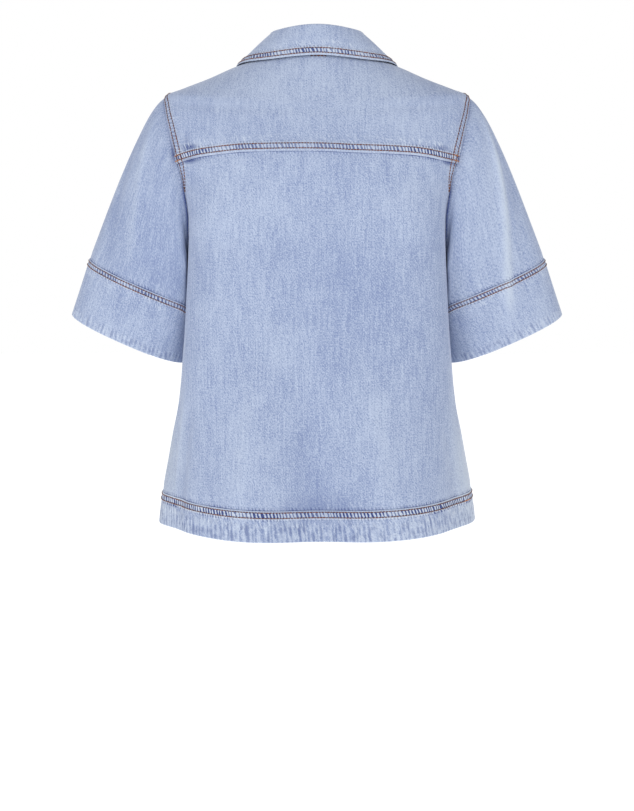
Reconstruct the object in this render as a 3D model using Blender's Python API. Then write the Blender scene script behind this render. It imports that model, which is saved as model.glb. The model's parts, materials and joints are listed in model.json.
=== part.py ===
"""A light denim shirt, filled out as if worn but with nobody in it.

The shirt hangs from where a wearer's shoulders would carry it, and that point is the origin: on the
centre plane, level with the back neck.  +Z is up, the front faces -Y and the wearer's left is +X.
Every panel is a thin wall on one shared form.  The form is a stack of rings from the hem to the neck;
a point on it is named by an angle round the body (0 at the centre back, 90 degrees at the wearer's
left side, 180 at the centre front) and by a level, the height of its ring at the side of the body.
The sleeves are tubes from the armhole to a hem band, and the collar folds over on the neck ring.
"""

import math

import bpy
import numpy as np

# ---------------------------------------------------------------- cloth and seams
WALL = 0.0015  # one layer of denim with its turnings
BAND_WALL = 0.0023  # hem bands and sleeve bands are folded double
SEAM_GAP = 0.0003  # between the edges of two panels at a seam

# ---------------------------------------------------------------- levels of the body
HEM = -0.5865
HEM_SEAM = -0.5488
ARMPIT = -0.245
YOKE_SEAM = -0.123
SHOULDER = -0.040  # the outer end of the shoulder seam
NECK = 0.009

# Rings of the body.  The drops say how far a ring's centre back and centre front hang below its sides.
RING_COLUMNS = ("level", "half_width", "back", "front", "back_drop", "front_drop", "squareness")
RINGS = (
    (HEM, 0.2040, 0.142, 0.143, 0.0110, 0.004, 2.3),
    (HEM_SEAM, 0.1995, 0.138, 0.140, 0.0122, 0.006, 2.4),
    (-0.499, 0.1905, 0.132, 0.135, 0.0060, 0.003, 2.6),
    (-0.434, 0.1795, 0.124, 0.131, 0.0030, 0.001, 3.0),
    (-0.385, 0.1750, 0.119, 0.129, 0.0010, 0.000, 3.3),
    (-0.320, 0.1708, 0.115, 0.128, 0.0000, 0.000, 3.4),
    (ARMPIT, 0.1678, 0.113, 0.127, 0.0000, 0.000, 3.3),
    (-0.200, 0.1665, 0.111, 0.123, 0.0000, 0.004, 3.5),
    (-0.155, 0.1755, 0.109, 0.116, -0.0020, 0.018, 2.9),
    (YOKE_SEAM, 0.1892, 0.105, 0.108, -0.0040, 0.031, 2.6),
    (-0.090, 0.1960, 0.100, 0.100, 0.0090, 0.046, 2.5),
    (-0.060, 0.1990, 0.094, 0.091, 0.0180, 0.060, 2.4),
    (-0.048, 0.1990, 0.090, 0.086, 0.0190, 0.065, 2.3),
    (SHOULDER, 0.1960, 0.087, 0.083, 0.0180, 0.067, 2.3),
    (-0.031, 0.1745, 0.082, 0.078, 0.0140, 0.068, 2.2),
    (-0.018, 0.1410, 0.075, 0.071, 0.0090, 0.069, 2.1),
    (-0.005, 0.1120, 0.068, 0.065, 0.0040, 0.070, 2.0),
    (NECK, 0.0740, 0.060, 0.057, 0.0010, 0.068, 2.0),
)

# The shirt hangs a little lower on the wearer's left at the hem.
HEM_TILT = 0.0015
HEM_TILT_STARTS = -0.38

# Soft flares that grow towards the hem: where each is centred, half its spread (both in degrees),
# how far it stands out or in at the hem, and the level where it starts.
FLARES = (
    (25.0, 24.0, 0.010, -0.30),
    (0.0, 20.0, -0.010, -0.33),
    (-28.0, 27.0, 0.012, -0.27),
    (60.0, 17.0, -0.007, -0.36),
    (-58.0, 15.0, -0.003, -0.38),
    (122.0, 20.0, -0.006, -0.34),
    (150.0, 22.0, 0.008, -0.28),
    (-124.0, 20.0, -0.006, -0.30),
    (-152.0, 22.0, 0.008, -0.31),
)

# The sleeves rest against the sides and press the body in there; the fade is a share by level.
HOLLOW_DEPTH = 0.011
HOLLOW_CENTRE_Y = -0.038
HOLLOW_HALF_Y = 0.062
HOLLOW_FADE = ((-0.470, 0.0), (-0.385, 1.0), (-0.235, 1.0), (-0.150, 0.0))

# ---------------------------------------------------------------- side seams, armholes and front edges
SIDE_SEAM_DEG = ((HEM, 62.0), (-0.434, 68.0), (-0.320, 79.0), (ARMPIT, 90.0))
ARMHOLE_MIDDLE = (SHOULDER + ARMPIT) / 2
ARMHOLE_HALF_HEIGHT = (SHOULDER - ARMPIT) / 2
ARMHOLE_BACK_Y = 0.047
ARMHOLE_FRONT_Y = 0.055
LAP = 0.015  # each front runs this far past the centre line
LAP_STEP = WALL + 0.0007  # the under front is set in by this much beneath the over front
LAP_REACH = 0.004  # beyond the over front's edge the under front is already set in
LAP_EASE = 0.028  # and it comes to that depth over this width

# ---------------------------------------------------------------- sleeves
SLEEVE_OUTWARD_DEG = 22.0
SLEEVE_FORWARD_DEG = 8.0
SLEEVE_RINGS_DEG = 23.0
SLEEVE_HEM_CENTRE = (0.2480, -0.043, -0.3530)
SLEEVE_HEM_HALF = (0.0825, 0.0560)  # across the outline, and front to back
SLEEVE_BAND_HALF = (0.0865, 0.0540)  # the same at the band's seam
SLEEVE_BAND_DEPTH = 0.0760
SLEEVE_SQUARENESS = 2.2
SLEEVE_FULL_BACK = 0.012  # how far its back stands out beside the body, at its band
SLEEVE_FULL_TURN_DEG = 128.0
SLEEVE_FULL_SPREAD_DEG = 34.0
SLEEVE_CLEAR = 0.0025  # kept between a sleeve and the body

# ---------------------------------------------------------------- collar
# Round the neck: how high the fold begins over the neck seam, how far it leans out, where on the
# body the leaf's edge lies, and how far it stands off there.
COLLAR_COLUMNS = ("angle_deg", "rise", "lean", "edge_level", "edge_lift")
COLLAR = (
    (0.0, 0.0332, -0.0085, 0.0050, 0.0044),
    (45.0, 0.0295, -0.0130, 0.0003, 0.0032),
    (90.0, 0.0235, -0.0160, -0.0015, 0.0026),
    (130.0, 0.0240, -0.0090, -0.0085, 0.0040),
    (148.0, 0.0240, -0.0065, -0.0195, 0.0040),
    (160.0, 0.0240, -0.0055, -0.0380, 0.0040),
    (180.0, 0.0240, -0.0050, -0.0400, 0.0040),
)
STAND_SHARE = 0.80  # of the rise, up to the seam between the stand and the leaf
LEAF_SHARE = 0.825  # of the rise, where the leaf begins
LEAF_END = 0.012  # from the centre front
LEAF_POINT_SLANT_DEG = 11.0
LEAF_POINT_POWER = 7  # odd, so that the slant is opposite on the two sides
LEAF_FOLD_RADIUS = 0.0030
LEAF_FOLD_TURNS_DEG = (180, 125, 70, 15)
LEAF_SHARES = (0.33, 0.67, 1.0)

# ---------------------------------------------------------------- buttons
BUTTON_HEIGHTS = (-0.135, -0.225, -0.315, -0.405, -0.495)  # down the front, under the one on the stand
BUTTON_RADIUS = 0.0075
# Share of the radius and height over the seat, from the shank out to the rim and over the face.
BUTTON_PROFILE = (
    (0.35, 0.0),
    (0.35, 0.0012),
    (0.92, 0.0014),
    (1.0, 0.0024),
    (0.90, 0.0034),
    (0.60, 0.0036),
)
BUTTON_LIFT = 0.0009
BUTTON_SIDES = 14

# ---------------------------------------------------------------- how finely each piece is faceted
ARMHOLE_STEPS_YOKE = 4
ARMHOLE_STEPS_BODY = 6
SHOULDER_STEPS = 4
SKIRT_STEPS = 7
BACK_COLUMNS = 22
FRONT_COLUMNS = 8
SLEEVE_STEPS = 8
BAND_STEPS = 3

SURFACES = {
    "denim": ((0.42, 0.50, 0.70, 1.0), 0.9, 0.0),
    "denim_band": ((0.40, 0.48, 0.68, 1.0), 0.9, 0.0),
    "button_metal": ((0.48, 0.30, 0.20, 1.0), 0.35, 1.0),
}


# ================================================================ smooth tables
def smooth(x, knots, values, level_start=False):
    """A monotone cubic through the knots: it never swings past a value of the table."""
    knots, values = np.asarray(knots, float), np.asarray(values, float)
    run = np.diff(knots)
    slope = np.diff(values) / run
    tangent = np.zeros_like(values)
    tangent[0], tangent[-1] = 0.0 if level_start else slope[0], slope[-1]
    for i in range(1, len(knots) - 1):
        if slope[i - 1] * slope[i] > 0:
            tangent[i] = 2 * slope[i - 1] * slope[i] / (slope[i - 1] + slope[i])
    x = np.clip(np.asarray(x, float), knots[0], knots[-1])
    i = np.clip(np.searchsorted(knots, x, side="right") - 1, 0, len(run) - 1)
    h = run[i]
    t = (x - knots[i]) / h
    return (
        values[i] * (1 + 2 * t) * (1 - t) ** 2
        + tangent[i] * h * t * (1 - t) ** 2
        + values[i + 1] * t * t * (3 - 2 * t)
        + tangent[i + 1] * h * t * t * (t - 1)
    )


def column(table, names, name, x, level_start=False):
    """One named column of a table, read smoothly at x, the value of its first column."""
    place = names.index(name)
    return smooth(x, [row[0] for row in table], [row[place] for row in table], level_start)


def ring(name, level):
    return column(RINGS, RING_COLUMNS, name, level)


def ease(x):
    x = np.clip(x, 0.0, 1.0)
    return x * x * (3 - 2 * x)


# ================================================================ the form of the body
def flare(angle, level):
    """How far the cloth stands out from its ring, from the flares that grow towards the hem."""
    out = np.zeros(np.broadcast(angle, level).shape)
    for centre, spread, depth, start in FLARES:
        off = (np.degrees(angle) - centre + 180) % 360 - 180
        across = 0.5 + 0.5 * np.cos(np.pi * np.clip(off / spread, -1, 1))
        out = out + depth * across * ease((start - level) / (start - HEM)) ** 1.3
    return out


def hollow(y, level):
    """How far the sides are pressed in beside the sleeves."""
    fade = smooth(level, [row[0] for row in HOLLOW_FADE], [row[1] for row in HOLLOW_FADE])
    return HOLLOW_DEPTH * fade * np.exp(-(((y - HOLLOW_CENTRE_Y) / HOLLOW_HALF_Y) ** 2))


def body(angle, level):
    """A point of the form, as an array of x, y, z."""
    angle, level = np.broadcast_arrays(np.asarray(angle, float), np.asarray(level, float))
    n = ring("squareness", level)
    across, along = np.sin(angle), np.cos(angle)
    reach = (np.abs(across) ** n + np.abs(along) ** n) ** (-1 / n)
    depth = np.where(along > 0, ring("back", level), ring("front", level))
    width = ring("half_width", level)
    out = flare(angle, level)
    x = (width + out) * reach * across
    y = (depth + out) * reach * along
    x = x - np.sign(x) * hollow(y, level) * np.minimum(1, np.abs(across) * 1.2)
    drop = np.where(along > 0, ring("back_drop", level), ring("front_drop", level))
    tilt = HEM_TILT * ease((HEM_TILT_STARTS - level) / (HEM_TILT_STARTS - HEM_SEAM)) * across
    z = level - drop * along**2 - tilt
    return np.stack([x, y, z], axis=-1)


def outward(surface, u, v, step=1e-4):
    """The unit normal of a surface of two arguments, by central differences."""
    du = surface(u + step, v) - surface(u - step, v)
    dv = surface(u, v + step) - surface(u, v - step)
    normal = np.cross(du, dv)
    return normal / np.maximum(np.linalg.norm(normal, axis=-1, keepdims=True), 1e-12)


def body_normal(angle, level):
    """Towards the outside of the body."""
    level = np.clip(level, HEM + 2e-4, NECK - 2e-4)
    normal = outward(body, np.asarray(angle, float), level)
    point = body(angle, level)
    towards = np.sign(np.sum(normal[..., :2] * point[..., :2], axis=-1))
    return normal * np.where(towards == 0, 1, towards)[..., None]


def angle_at(y, level):
    """The angle, on the wearer's left, where the ring at that level has that y."""
    n = ring("squareness", level)
    depth = np.where(y > 0, ring("back", level), ring("front", level))
    share = np.clip(np.abs(y) / depth, 0, 1)
    return np.arctan2((1 - share**n) ** (1 / n), np.sign(y) * share)


# ================================================================ where the panels end
def armhole_level(turn):
    return ARMHOLE_MIDDLE + ARMHOLE_HALF_HEIGHT * np.cos(turn)


def armhole_angle(turn):
    """turn runs round the armhole: 0 at the shoulder, 90 degrees at the back, 180 at the armpit."""
    half = np.where(np.sin(turn) > 0, ARMHOLE_BACK_Y, ARMHOLE_FRONT_Y)
    return angle_at(half * np.sin(turn), armhole_level(turn))


def side_angle(level):
    return np.radians(smooth(level, [r[0] for r in SIDE_SEAM_DEG], [r[1] for r in SIDE_SEAM_DEG]))


def armhole_turn(level):
    """The turn, from 0 to 180 degrees, at which the back of the armhole crosses a level."""
    return np.arccos(np.clip((level - ARMHOLE_MIDDLE) / ARMHOLE_HALF_HEIGHT, -1, 1))


def back_edge(level):
    """The angle where the back, the yoke or the back hem band ends."""
    at_arm = armhole_angle(armhole_turn(level))
    return np.where(level < ARMPIT, side_angle(level), np.where(level > SHOULDER, np.pi / 2, at_arm))


def front_edge(level):
    """The angle where a front begins, at its side."""
    at_arm = armhole_angle(2 * np.pi - armhole_turn(level))
    return np.where(level < ARMPIT, side_angle(level), np.where(level > SHOULDER, np.pi / 2, at_arm))


def front_angle(level, x):
    """The angle on the front at a distance x from the centre line, on the wearer's left."""
    return np.pi - np.arcsin(x / ring("half_width", level))


YOKE_TURN = float(armhole_turn(YOKE_SEAM))
NECK_LEVELS = NECK + (SHOULDER - NECK) * np.linspace(0, 1, SHOULDER_STEPS + 1)
YOKE_TURNS = np.linspace(0, YOKE_TURN, ARMHOLE_STEPS_YOKE + 1)
BODY_TURNS = np.linspace(YOKE_TURN, np.pi, ARMHOLE_STEPS_BODY + 1)
SKIRT_LEVELS = ARMPIT + (HEM_SEAM - ARMPIT) * np.linspace(0, 1, SKIRT_STEPS + 1)
YOKE_LEVELS = np.concatenate([NECK_LEVELS[:-1], armhole_level(YOKE_TURNS)])
BACK_LEVELS = np.concatenate([armhole_level(BODY_TURNS)[:-1], SKIRT_LEVELS])
FRONT_LEVELS = np.concatenate([YOKE_LEVELS[:-1], BACK_LEVELS])
HEM_LEVELS = np.linspace(HEM_SEAM, HEM, 3)
HALF_TURNS = np.concatenate([YOKE_TURNS[:-1], BODY_TURNS])
SLEEVE_TURNS = np.concatenate([HALF_TURNS, 2 * np.pi - HALF_TURNS[-2:0:-1]])
SLEEVE_SEAM_SHARE = 0.003  # of a sleeve's or a band's length, left open at the seam between them


# ================================================================ walls
def clear_edges(grid):
    """The grid with its outer points drawn in by half a seam gap, so that panels don't touch."""
    grid = grid.copy()
    every = slice(None)
    for edge, inner in (((0, every), (1, every)), ((-1, every), (-2, every)),
                        ((every, 0), (every, 1)), ((every, -1), (every, -2))):
        way = grid[inner] - grid[edge]
        grid[edge] = grid[edge] + way * (SEAM_GAP / 2) / np.linalg.norm(way, axis=-1, keepdims=True)
    return grid


def surface_object(name, points, faces, surface):
    mesh = bpy.data.meshes.new(name)
    mesh.from_pydata([tuple(p) for p in points], [], faces)
    mesh.materials.append(SURFACE_OF[surface])
    mesh.shade_smooth()
    mesh.set_sharp_from_angle(angle=math.radians(40))
    mesh.update()
    obj = bpy.data.objects.new(name, mesh)
    bpy.context.scene.collection.objects.link(obj)
    return obj


def facing_out(points, faces):
    """The same faces of a closed body, turned over if they enclose a negative volume."""
    centre = points.mean(axis=0)
    fans = np.array([(f[0], f[k], f[k + 1]) for f in faces for k in range(1, len(f) - 1)])
    a, b, c = (points[fans[:, k]] - centre for k in range(3))
    volume = np.sum(a * np.cross(b, c))
    return faces if volume > 0 else [list(reversed(f)) for f in faces]


def split(corners, points):
    """A quad as two triangles, along its shorter diagonal."""
    a, b, c, d = corners
    if np.linalg.norm(points[a] - points[c]) <= np.linalg.norm(points[b] - points[d]):
        return [a, b, c], [a, c, d]
    return [a, b, d], [b, c, d]


def wall(name, outer, inner, surface, closed_round=False):
    """One closed wall between two grids of the same shape; closed_round joins it up into a tube.

    Both of its sides are split along the same diagonals, so that the wall is as thick everywhere.
    """
    rows, cols = outer.shape[:2]
    points = np.concatenate([outer.reshape(-1, 3), inner.reshape(-1, 3)])
    skip = rows * cols

    def at(r, c, layer):
        return layer * skip + r * cols + c % cols

    faces = []
    spans = cols if closed_round else cols - 1
    for r in range(rows - 1):
        for c in range(spans):
            corners = [at(r, c, 0), at(r + 1, c, 0), at(r + 1, c + 1, 0), at(r, c + 1, 0)]
            for triangle in split(corners, points):
                faces.append(triangle)
                faces.append([p + skip for p in reversed(triangle)])
    last, side = rows - 1, cols - 1
    for c in range(spans):
        faces.append([at(0, c, 0), at(0, c + 1, 0), at(0, c + 1, 1), at(0, c, 1)])
        faces.append([at(last, c + 1, 0), at(last, c, 0), at(last, c, 1), at(last, c + 1, 1)])
    if not closed_round:
        for r in range(rows - 1):
            faces.append([at(r + 1, 0, 0), at(r, 0, 0), at(r, 0, 1), at(r + 1, 0, 1)])
            faces.append([at(r, side, 0), at(r + 1, side, 0), at(r + 1, side, 1), at(r, side, 1)])
    return surface_object(name, points, facing_out(points, faces), surface)


# ================================================================ body panels
def body_panel(name, levels, angles, surface, thickness=WALL, step_in=None):
    """A wall on the form, one row of angles for each level; step_in sets the cloth in by a distance."""
    levels = levels[:, None] + 0 * angles
    normals = body_normal(angles, levels)
    outer = body(angles, levels)
    if step_in is not None:
        outer = outer - normals * step_in(outer)[..., None]
    outer = clear_edges(outer)
    return wall(name, outer, outer - normals * thickness, surface)


def back_angles(levels):
    return back_edge(levels)[:, None] * np.linspace(-1, 1, BACK_COLUMNS + 1)


def front_angles(levels):
    """Evenly from the side to where the lap begins, then over the lap to the front's own edge."""
    starts = front_edge(levels)
    lap_x = (LAP + LAP_REACH + LAP_EASE, LAP + LAP_REACH, LEAF_END, 0.0, -LAP)
    lap = np.stack([front_angle(levels, x) for x in lap_x], axis=1)
    share = np.linspace(0, 1, FRONT_COLUMNS + 1)[:-1]
    return np.concatenate([starts[:, None] * (1 - share) + lap[:, :1] * share, lap], axis=1)


def lap_step(outer, step=LAP_STEP):
    """How far the under front goes in beneath the over front, from its distance to the centre line."""
    return step * ease((LAP + LAP_REACH + LAP_EASE - outer[..., 0]) / LAP_EASE)


def band_lap_step(outer):
    return lap_step(outer, LAP_STEP + BAND_WALL - WALL)


def make_body():
    body_panel("back_yoke", YOKE_LEVELS, back_angles(YOKE_LEVELS), "denim")
    body_panel("back_panel", BACK_LEVELS, back_angles(BACK_LEVELS), "denim")
    body_panel("front_right", FRONT_LEVELS, -front_angles(FRONT_LEVELS), "denim")
    body_panel("front_left", FRONT_LEVELS, front_angles(FRONT_LEVELS), "denim", WALL, lap_step)


def make_hem():
    body_panel("hem_band_back", HEM_LEVELS, back_angles(HEM_LEVELS), "denim_band", BAND_WALL)
    angles = front_angles(HEM_LEVELS)
    body_panel("hem_band_front_right", HEM_LEVELS, -angles, "denim_band", BAND_WALL)
    body_panel("hem_band_front_left", HEM_LEVELS, angles, "denim_band", BAND_WALL, band_lap_step)


# ================================================================ sleeves
def sleeve_axes():
    """Along the sleeve, across it in the outline, and towards the back; for the wearer's left."""
    out, fwd = math.radians(SLEEVE_OUTWARD_DEG), math.radians(SLEEVE_FORWARD_DEG)
    along = np.array([math.sin(out) * math.cos(fwd), -math.sin(fwd), -math.cos(out) * math.cos(fwd)])
    tip = math.radians(SLEEVE_RINGS_DEG)
    across = np.array([math.cos(tip), 0.0, math.sin(tip)])
    backward = np.cross(along, across)
    return along, across, backward * np.sign(backward[1])


ALONG, ACROSS, BACKWARD = sleeve_axes()


def sleeve_ring(turn, half, centre):
    """A ring of the sleeve across its axis."""
    turn = np.asarray(turn, float)[..., None]
    c, s = np.cos(turn), np.sin(turn)
    reach = (np.abs(c) ** SLEEVE_SQUARENESS + np.abs(s) ** SLEEVE_SQUARENESS) ** (-1 / SLEEVE_SQUARENESS)
    return centre + reach * (half[0] * c * ACROSS + half[1] * s * BACKWARD)


def lowness(turn):
    """0 at the shoulder and 1 at the armpit."""
    return ((1 - np.cos(turn)) / 2) ** 1.6


def leaving(turn):
    """The way in which the sleeve's cloth leaves the armhole, and how strongly."""
    low = lowness(turn)
    way = np.stack([0.78 - 0.60 * low, 0.30 * np.sin(turn) * (1 - low), -0.56 - 0.44 * low], axis=-1)
    way = way / np.linalg.norm(way, axis=-1, keepdims=True)
    return way, 0.112 - 0.052 * low


def clear_of_body(points, share):
    """Points of a sleeve moved out of the body's side, more softly close to the armhole."""
    x, y, z = points[..., 0], points[..., 1], points[..., 2]
    level = np.clip(z, HEM, ARMHOLE_MIDDLE)
    side = body(angle_at(y, level), level)[..., 0] + SLEEVE_CLEAR
    soft = 0.004
    room = x - side
    pushed = side + soft * np.logaddexp(0, room / soft)
    weight = ease(share / 0.12) * (z < ARMHOLE_MIDDLE)
    moved = points.copy()
    moved[..., 0] = x + (np.maximum(pushed, x) - x) * weight
    return moved


def full_back(points, turn, share):
    """The back of the sleeve stands out beside the body, more so further down."""
    off = (np.degrees(turn) - SLEEVE_FULL_TURN_DEG + 180) % 360 - 180
    moved = points.copy()
    moved[..., 1] += SLEEVE_FULL_BACK * np.exp(-((off / SLEEVE_FULL_SPREAD_DEG) ** 2)) * ease(share / 0.6)
    return moved


def sleeve(turn, share):
    """A point of the sleeve above its band: share is 0 at the armhole and 1 at the band's seam."""
    turn, share = np.broadcast_arrays(np.asarray(turn, float), np.asarray(share, float))
    start = body(armhole_angle(turn), armhole_level(turn))
    way, strength = leaving(turn)
    lap_out = body_normal(armhole_angle(turn), armhole_level(turn)) * lowness(turn)[..., None]
    start = start + SEAM_GAP * (way + 2.0 * lap_out)
    centre = np.array(SLEEVE_HEM_CENTRE) - ALONG * SLEEVE_BAND_DEPTH
    end = sleeve_ring(turn, SLEEVE_BAND_HALF, centre)
    arrive = ALONG * (0.26 - 0.17 * lowness(turn))[..., None]
    s = share[..., None]
    points = (
        start * (1 + 2 * s) * (1 - s) ** 2
        + way * strength[..., None] * s * (1 - s) ** 2
        + end * s * s * (3 - 2 * s)
        + arrive * s * s * (s - 1)
    )
    return clear_of_body(full_back(points, turn, share), share)


def band(turn, share):
    """A point of the sleeve's band: share is 0 at its seam and 1 at its folded lower edge."""
    turn, share = np.broadcast_arrays(np.asarray(turn, float), np.asarray(share, float))
    s = share[..., None]
    centre = np.array(SLEEVE_HEM_CENTRE)
    top = sleeve_ring(turn, SLEEVE_BAND_HALF, centre - ALONG * SLEEVE_BAND_DEPTH)
    low = sleeve_ring(turn, SLEEVE_HEM_HALF, centre)
    points = full_back(top * (1 - s) + low * s, turn, np.ones_like(share))
    return clear_of_body(points, np.ones_like(share))


def sleeve_squared(share):
    """The sleeve's wall turns square to the sleeve's axis towards its band."""
    return ease((share - 0.6) / 0.4)


def tube_wall(name, surface_of, shares, squared_from, thickness, surface, mirror):
    """A tube's wall; mirror is 1 for the wearer's left and -1 for the right."""
    turns, shares = np.meshgrid(SLEEVE_TURNS, shares)
    outer = surface_of(turns, shares)
    normal = outward(surface_of, turns, np.clip(shares, 2e-4, 1 - 2e-4))
    normal = normal * np.sign(np.sum(normal * (outer - outer.mean(axis=1, keepdims=True)), axis=-1).mean())
    square = normal - np.sum(normal * ALONG, axis=-1, keepdims=True) * ALONG
    square = square / np.linalg.norm(square, axis=-1, keepdims=True)
    share = squared_from(shares)[..., None]
    normal = normal * (1 - share) + square * share
    flip = np.array([mirror, 1, 1])
    return wall(name, outer * flip, (outer - normal * thickness) * flip, surface, closed_round=True)


def make_sleeves():
    for side, mirror in (("left", 1), ("right", -1)):
        rows = np.linspace(0, 1 - SLEEVE_SEAM_SHARE, SLEEVE_STEPS + 1)
        tube_wall(f"sleeve_{side}", sleeve, rows, sleeve_squared, WALL, "denim", mirror)
        rows = np.linspace(SLEEVE_SEAM_SHARE, 1, BAND_STEPS + 1)
        tube_wall(f"sleeve_band_{side}", band, rows, np.ones_like, BAND_WALL, "denim_band", mirror)


# ================================================================ collar
UP = np.array([0.0, 0.0, 1.0])


def collar_value(name, angle):
    """Even about the centre back, so each column starts level there."""
    return column(COLLAR, COLLAR_COLUMNS, name, np.abs(np.degrees(angle)), level_start=True)[..., None]


def neck_outward(angle, step=1e-4):
    """Level, and square to the neck's outline as seen from above."""
    level = np.full_like(angle, NECK)
    along = body(angle + step, level) - body(angle - step, level)
    out = np.stack([-along[..., 1], along[..., 0], 0 * angle], axis=-1)
    return out / np.linalg.norm(out, axis=-1, keepdims=True)


def collar_root(angle):
    """The middle of the stand's lower edge, just over the neck seam, and where the fold begins."""
    out = neck_outward(angle)
    edge = body(angle, np.full_like(angle, NECK))
    under = np.where(angle > np.pi / 2, lap_step(edge), 0.0)[..., None]
    foot = edge + UP * 2 * SEAM_GAP - out * (WALL / 2 + under)
    fold = foot + UP * collar_value("rise", angle) + out * collar_value("lean", angle)
    return foot, fold, out


def cloth_wall(name, middle, surface):
    """A wall of one layer about its middle surface."""
    normal = np.cross(np.gradient(middle, axis=1), np.gradient(middle, axis=0))
    normal = normal / np.linalg.norm(normal, axis=-1, keepdims=True)
    return wall(name, middle + normal * WALL / 2, middle - normal * WALL / 2, surface)


def neck_angles():
    """The columns of the yoke and the fronts at the neck, from one end of the stand to the other."""
    neck = np.array([NECK])
    front = front_angles(neck)[0]
    return np.concatenate([-front[::-1], back_angles(neck)[0, 1:-1], front])


def make_collar_stand():
    angles = neck_angles()
    foot, fold, _ = collar_root(angles)
    middle = np.array([foot + (fold - foot) * STAND_SHARE * share for share in (0.0, 0.5, 1.0)])
    cloth_wall("collar_stand", middle, "denim")


def leaf_edge(angle):
    level = collar_value("edge_level", angle)[..., 0]
    return body(angle, level) + body_normal(angle, level) * collar_value("edge_lift", angle)


def make_collar_leaf():
    angles = neck_angles()[2:-2]  # the leaf ends two columns short of the stand's ends
    foot, fold, out = collar_root(angles)
    rows = [foot + (fold - foot) * LEAF_SHARE]
    centre = fold + out * LEAF_FOLD_RADIUS
    for degrees in LEAF_FOLD_TURNS_DEG:
        turn = math.radians(degrees)
        rows.append(centre + LEAF_FOLD_RADIUS * (out * math.cos(turn) + UP * math.sin(turn)))
    over = rows[-1]
    slant = math.radians(LEAF_POINT_SLANT_DEG) * (angles / angles[-1]) ** LEAF_POINT_POWER
    for share in LEAF_SHARES:
        rows.append(over * (1 - share) + leaf_edge(angles - slant * share) * share)
    cloth_wall("collar_leaf", np.array(rows), "denim")


# ================================================================ buttons
def make_button(name, seat, out):
    """A turned profile that stands off its seat, facing out."""
    side = np.array([1.0, 0.0, 0.0])
    upward = np.cross(out, side)
    turns = 2 * np.pi * np.arange(BUTTON_SIDES) / BUTTON_SIDES
    spokes = np.cos(turns)[:, None] * side + np.sin(turns)[:, None] * upward
    rings = [seat + out * (BUTTON_LIFT + height) + spokes * radius * BUTTON_RADIUS
             for radius, height in BUTTON_PROFILE]
    points = np.concatenate(rings)
    faces = [list(range(BUTTON_SIDES))]
    for r in range(len(BUTTON_PROFILE) - 1):
        for k in range(BUTTON_SIDES):
            n = (k + 1) % BUTTON_SIDES
            low, high = r * BUTTON_SIDES, (r + 1) * BUTTON_SIDES
            faces.append([low + n, low + k, high + k, high + n])
    faces.append(list(range(len(points) - 1, len(points) - 1 - BUTTON_SIDES, -1)))
    surface_object(name, points, facing_out(points, faces), "button_metal")


def make_buttons():
    """One on the collar stand and the others down the over front, on the centre line."""
    centre_front = np.array([-np.pi])
    foot, fold, out = collar_root(centre_front)
    seat = foot + (fold - foot) * STAND_SHARE / 2 + out * WALL / 2
    make_button("button_1", seat[0], out[0])
    levels = np.linspace(HEM_SEAM, NECK, 200)
    heights = body(-np.pi, levels)[:, 2]
    for number, height in enumerate(BUTTON_HEIGHTS, start=2):
        level = np.interp(height, heights, levels)
        make_button(f"button_{number}", body(-np.pi, level), body_normal(-np.pi, level))


# ================================================================ materials and the whole shirt
def make_surface(name, colour, roughness, metallic):
    material = bpy.data.materials.new(name)
    material.use_nodes = True
    shader = material.node_tree.nodes["Principled BSDF"]
    shader.inputs["Base Color"].default_value = colour
    shader.inputs["Roughness"].default_value = roughness
    shader.inputs["Metallic"].default_value = metallic
    return material


for old in list(bpy.data.objects):
    bpy.data.objects.remove(old)
SURFACE_OF = {name: make_surface(name, *values) for name, values in SURFACES.items()}
make_body()
make_hem()
make_sleeves()
make_collar_stand()
make_collar_leaf()
make_buttons()
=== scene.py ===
# %% [markdown]
# # A light denim shirt
# The shirt is filled out as if worn, but nobody is in it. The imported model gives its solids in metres,
# with the origin between the wearer's shoulders, the front towards -Y and the wearer's left at +X.
# Each solid is only a plain thin wall, so this lesson builds the cloth again over the same form, fine
# enough for puckers and creases, and then sews it.

# %% Load the frame
import json
import math

import bpy
import numpy as np
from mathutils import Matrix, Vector
from mathutils.bvhtree import BVHTree

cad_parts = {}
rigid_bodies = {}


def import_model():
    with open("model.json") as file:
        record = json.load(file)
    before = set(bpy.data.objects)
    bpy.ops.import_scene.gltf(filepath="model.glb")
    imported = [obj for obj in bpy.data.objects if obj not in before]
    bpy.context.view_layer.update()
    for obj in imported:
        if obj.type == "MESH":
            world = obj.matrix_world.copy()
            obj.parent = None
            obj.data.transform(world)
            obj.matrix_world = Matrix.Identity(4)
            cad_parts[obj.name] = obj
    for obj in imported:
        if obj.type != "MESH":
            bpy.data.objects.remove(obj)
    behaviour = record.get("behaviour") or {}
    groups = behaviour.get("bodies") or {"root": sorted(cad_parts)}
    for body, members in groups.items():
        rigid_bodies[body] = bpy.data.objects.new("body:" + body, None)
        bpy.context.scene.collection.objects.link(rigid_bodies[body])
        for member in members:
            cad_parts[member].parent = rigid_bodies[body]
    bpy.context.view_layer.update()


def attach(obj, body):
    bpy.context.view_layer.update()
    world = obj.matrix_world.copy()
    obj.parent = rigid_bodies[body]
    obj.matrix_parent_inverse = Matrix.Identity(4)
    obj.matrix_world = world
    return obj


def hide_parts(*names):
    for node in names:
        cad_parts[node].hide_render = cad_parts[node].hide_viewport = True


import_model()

# %% [markdown]
# ## The form of the body
# A shirt on a body is close to a stack of rings. Each ring has a half width, a depth to the back and to
# the front, and a squareness between an ellipse and a box. Its centre back and centre front may hang
# lower than its sides. Reading every column of the table with a cubic that never overshoots gives a
# smooth surface from a few sizes. The same form carries the yoke, the back, the fronts and the hem, so
# the panels always meet.

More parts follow.
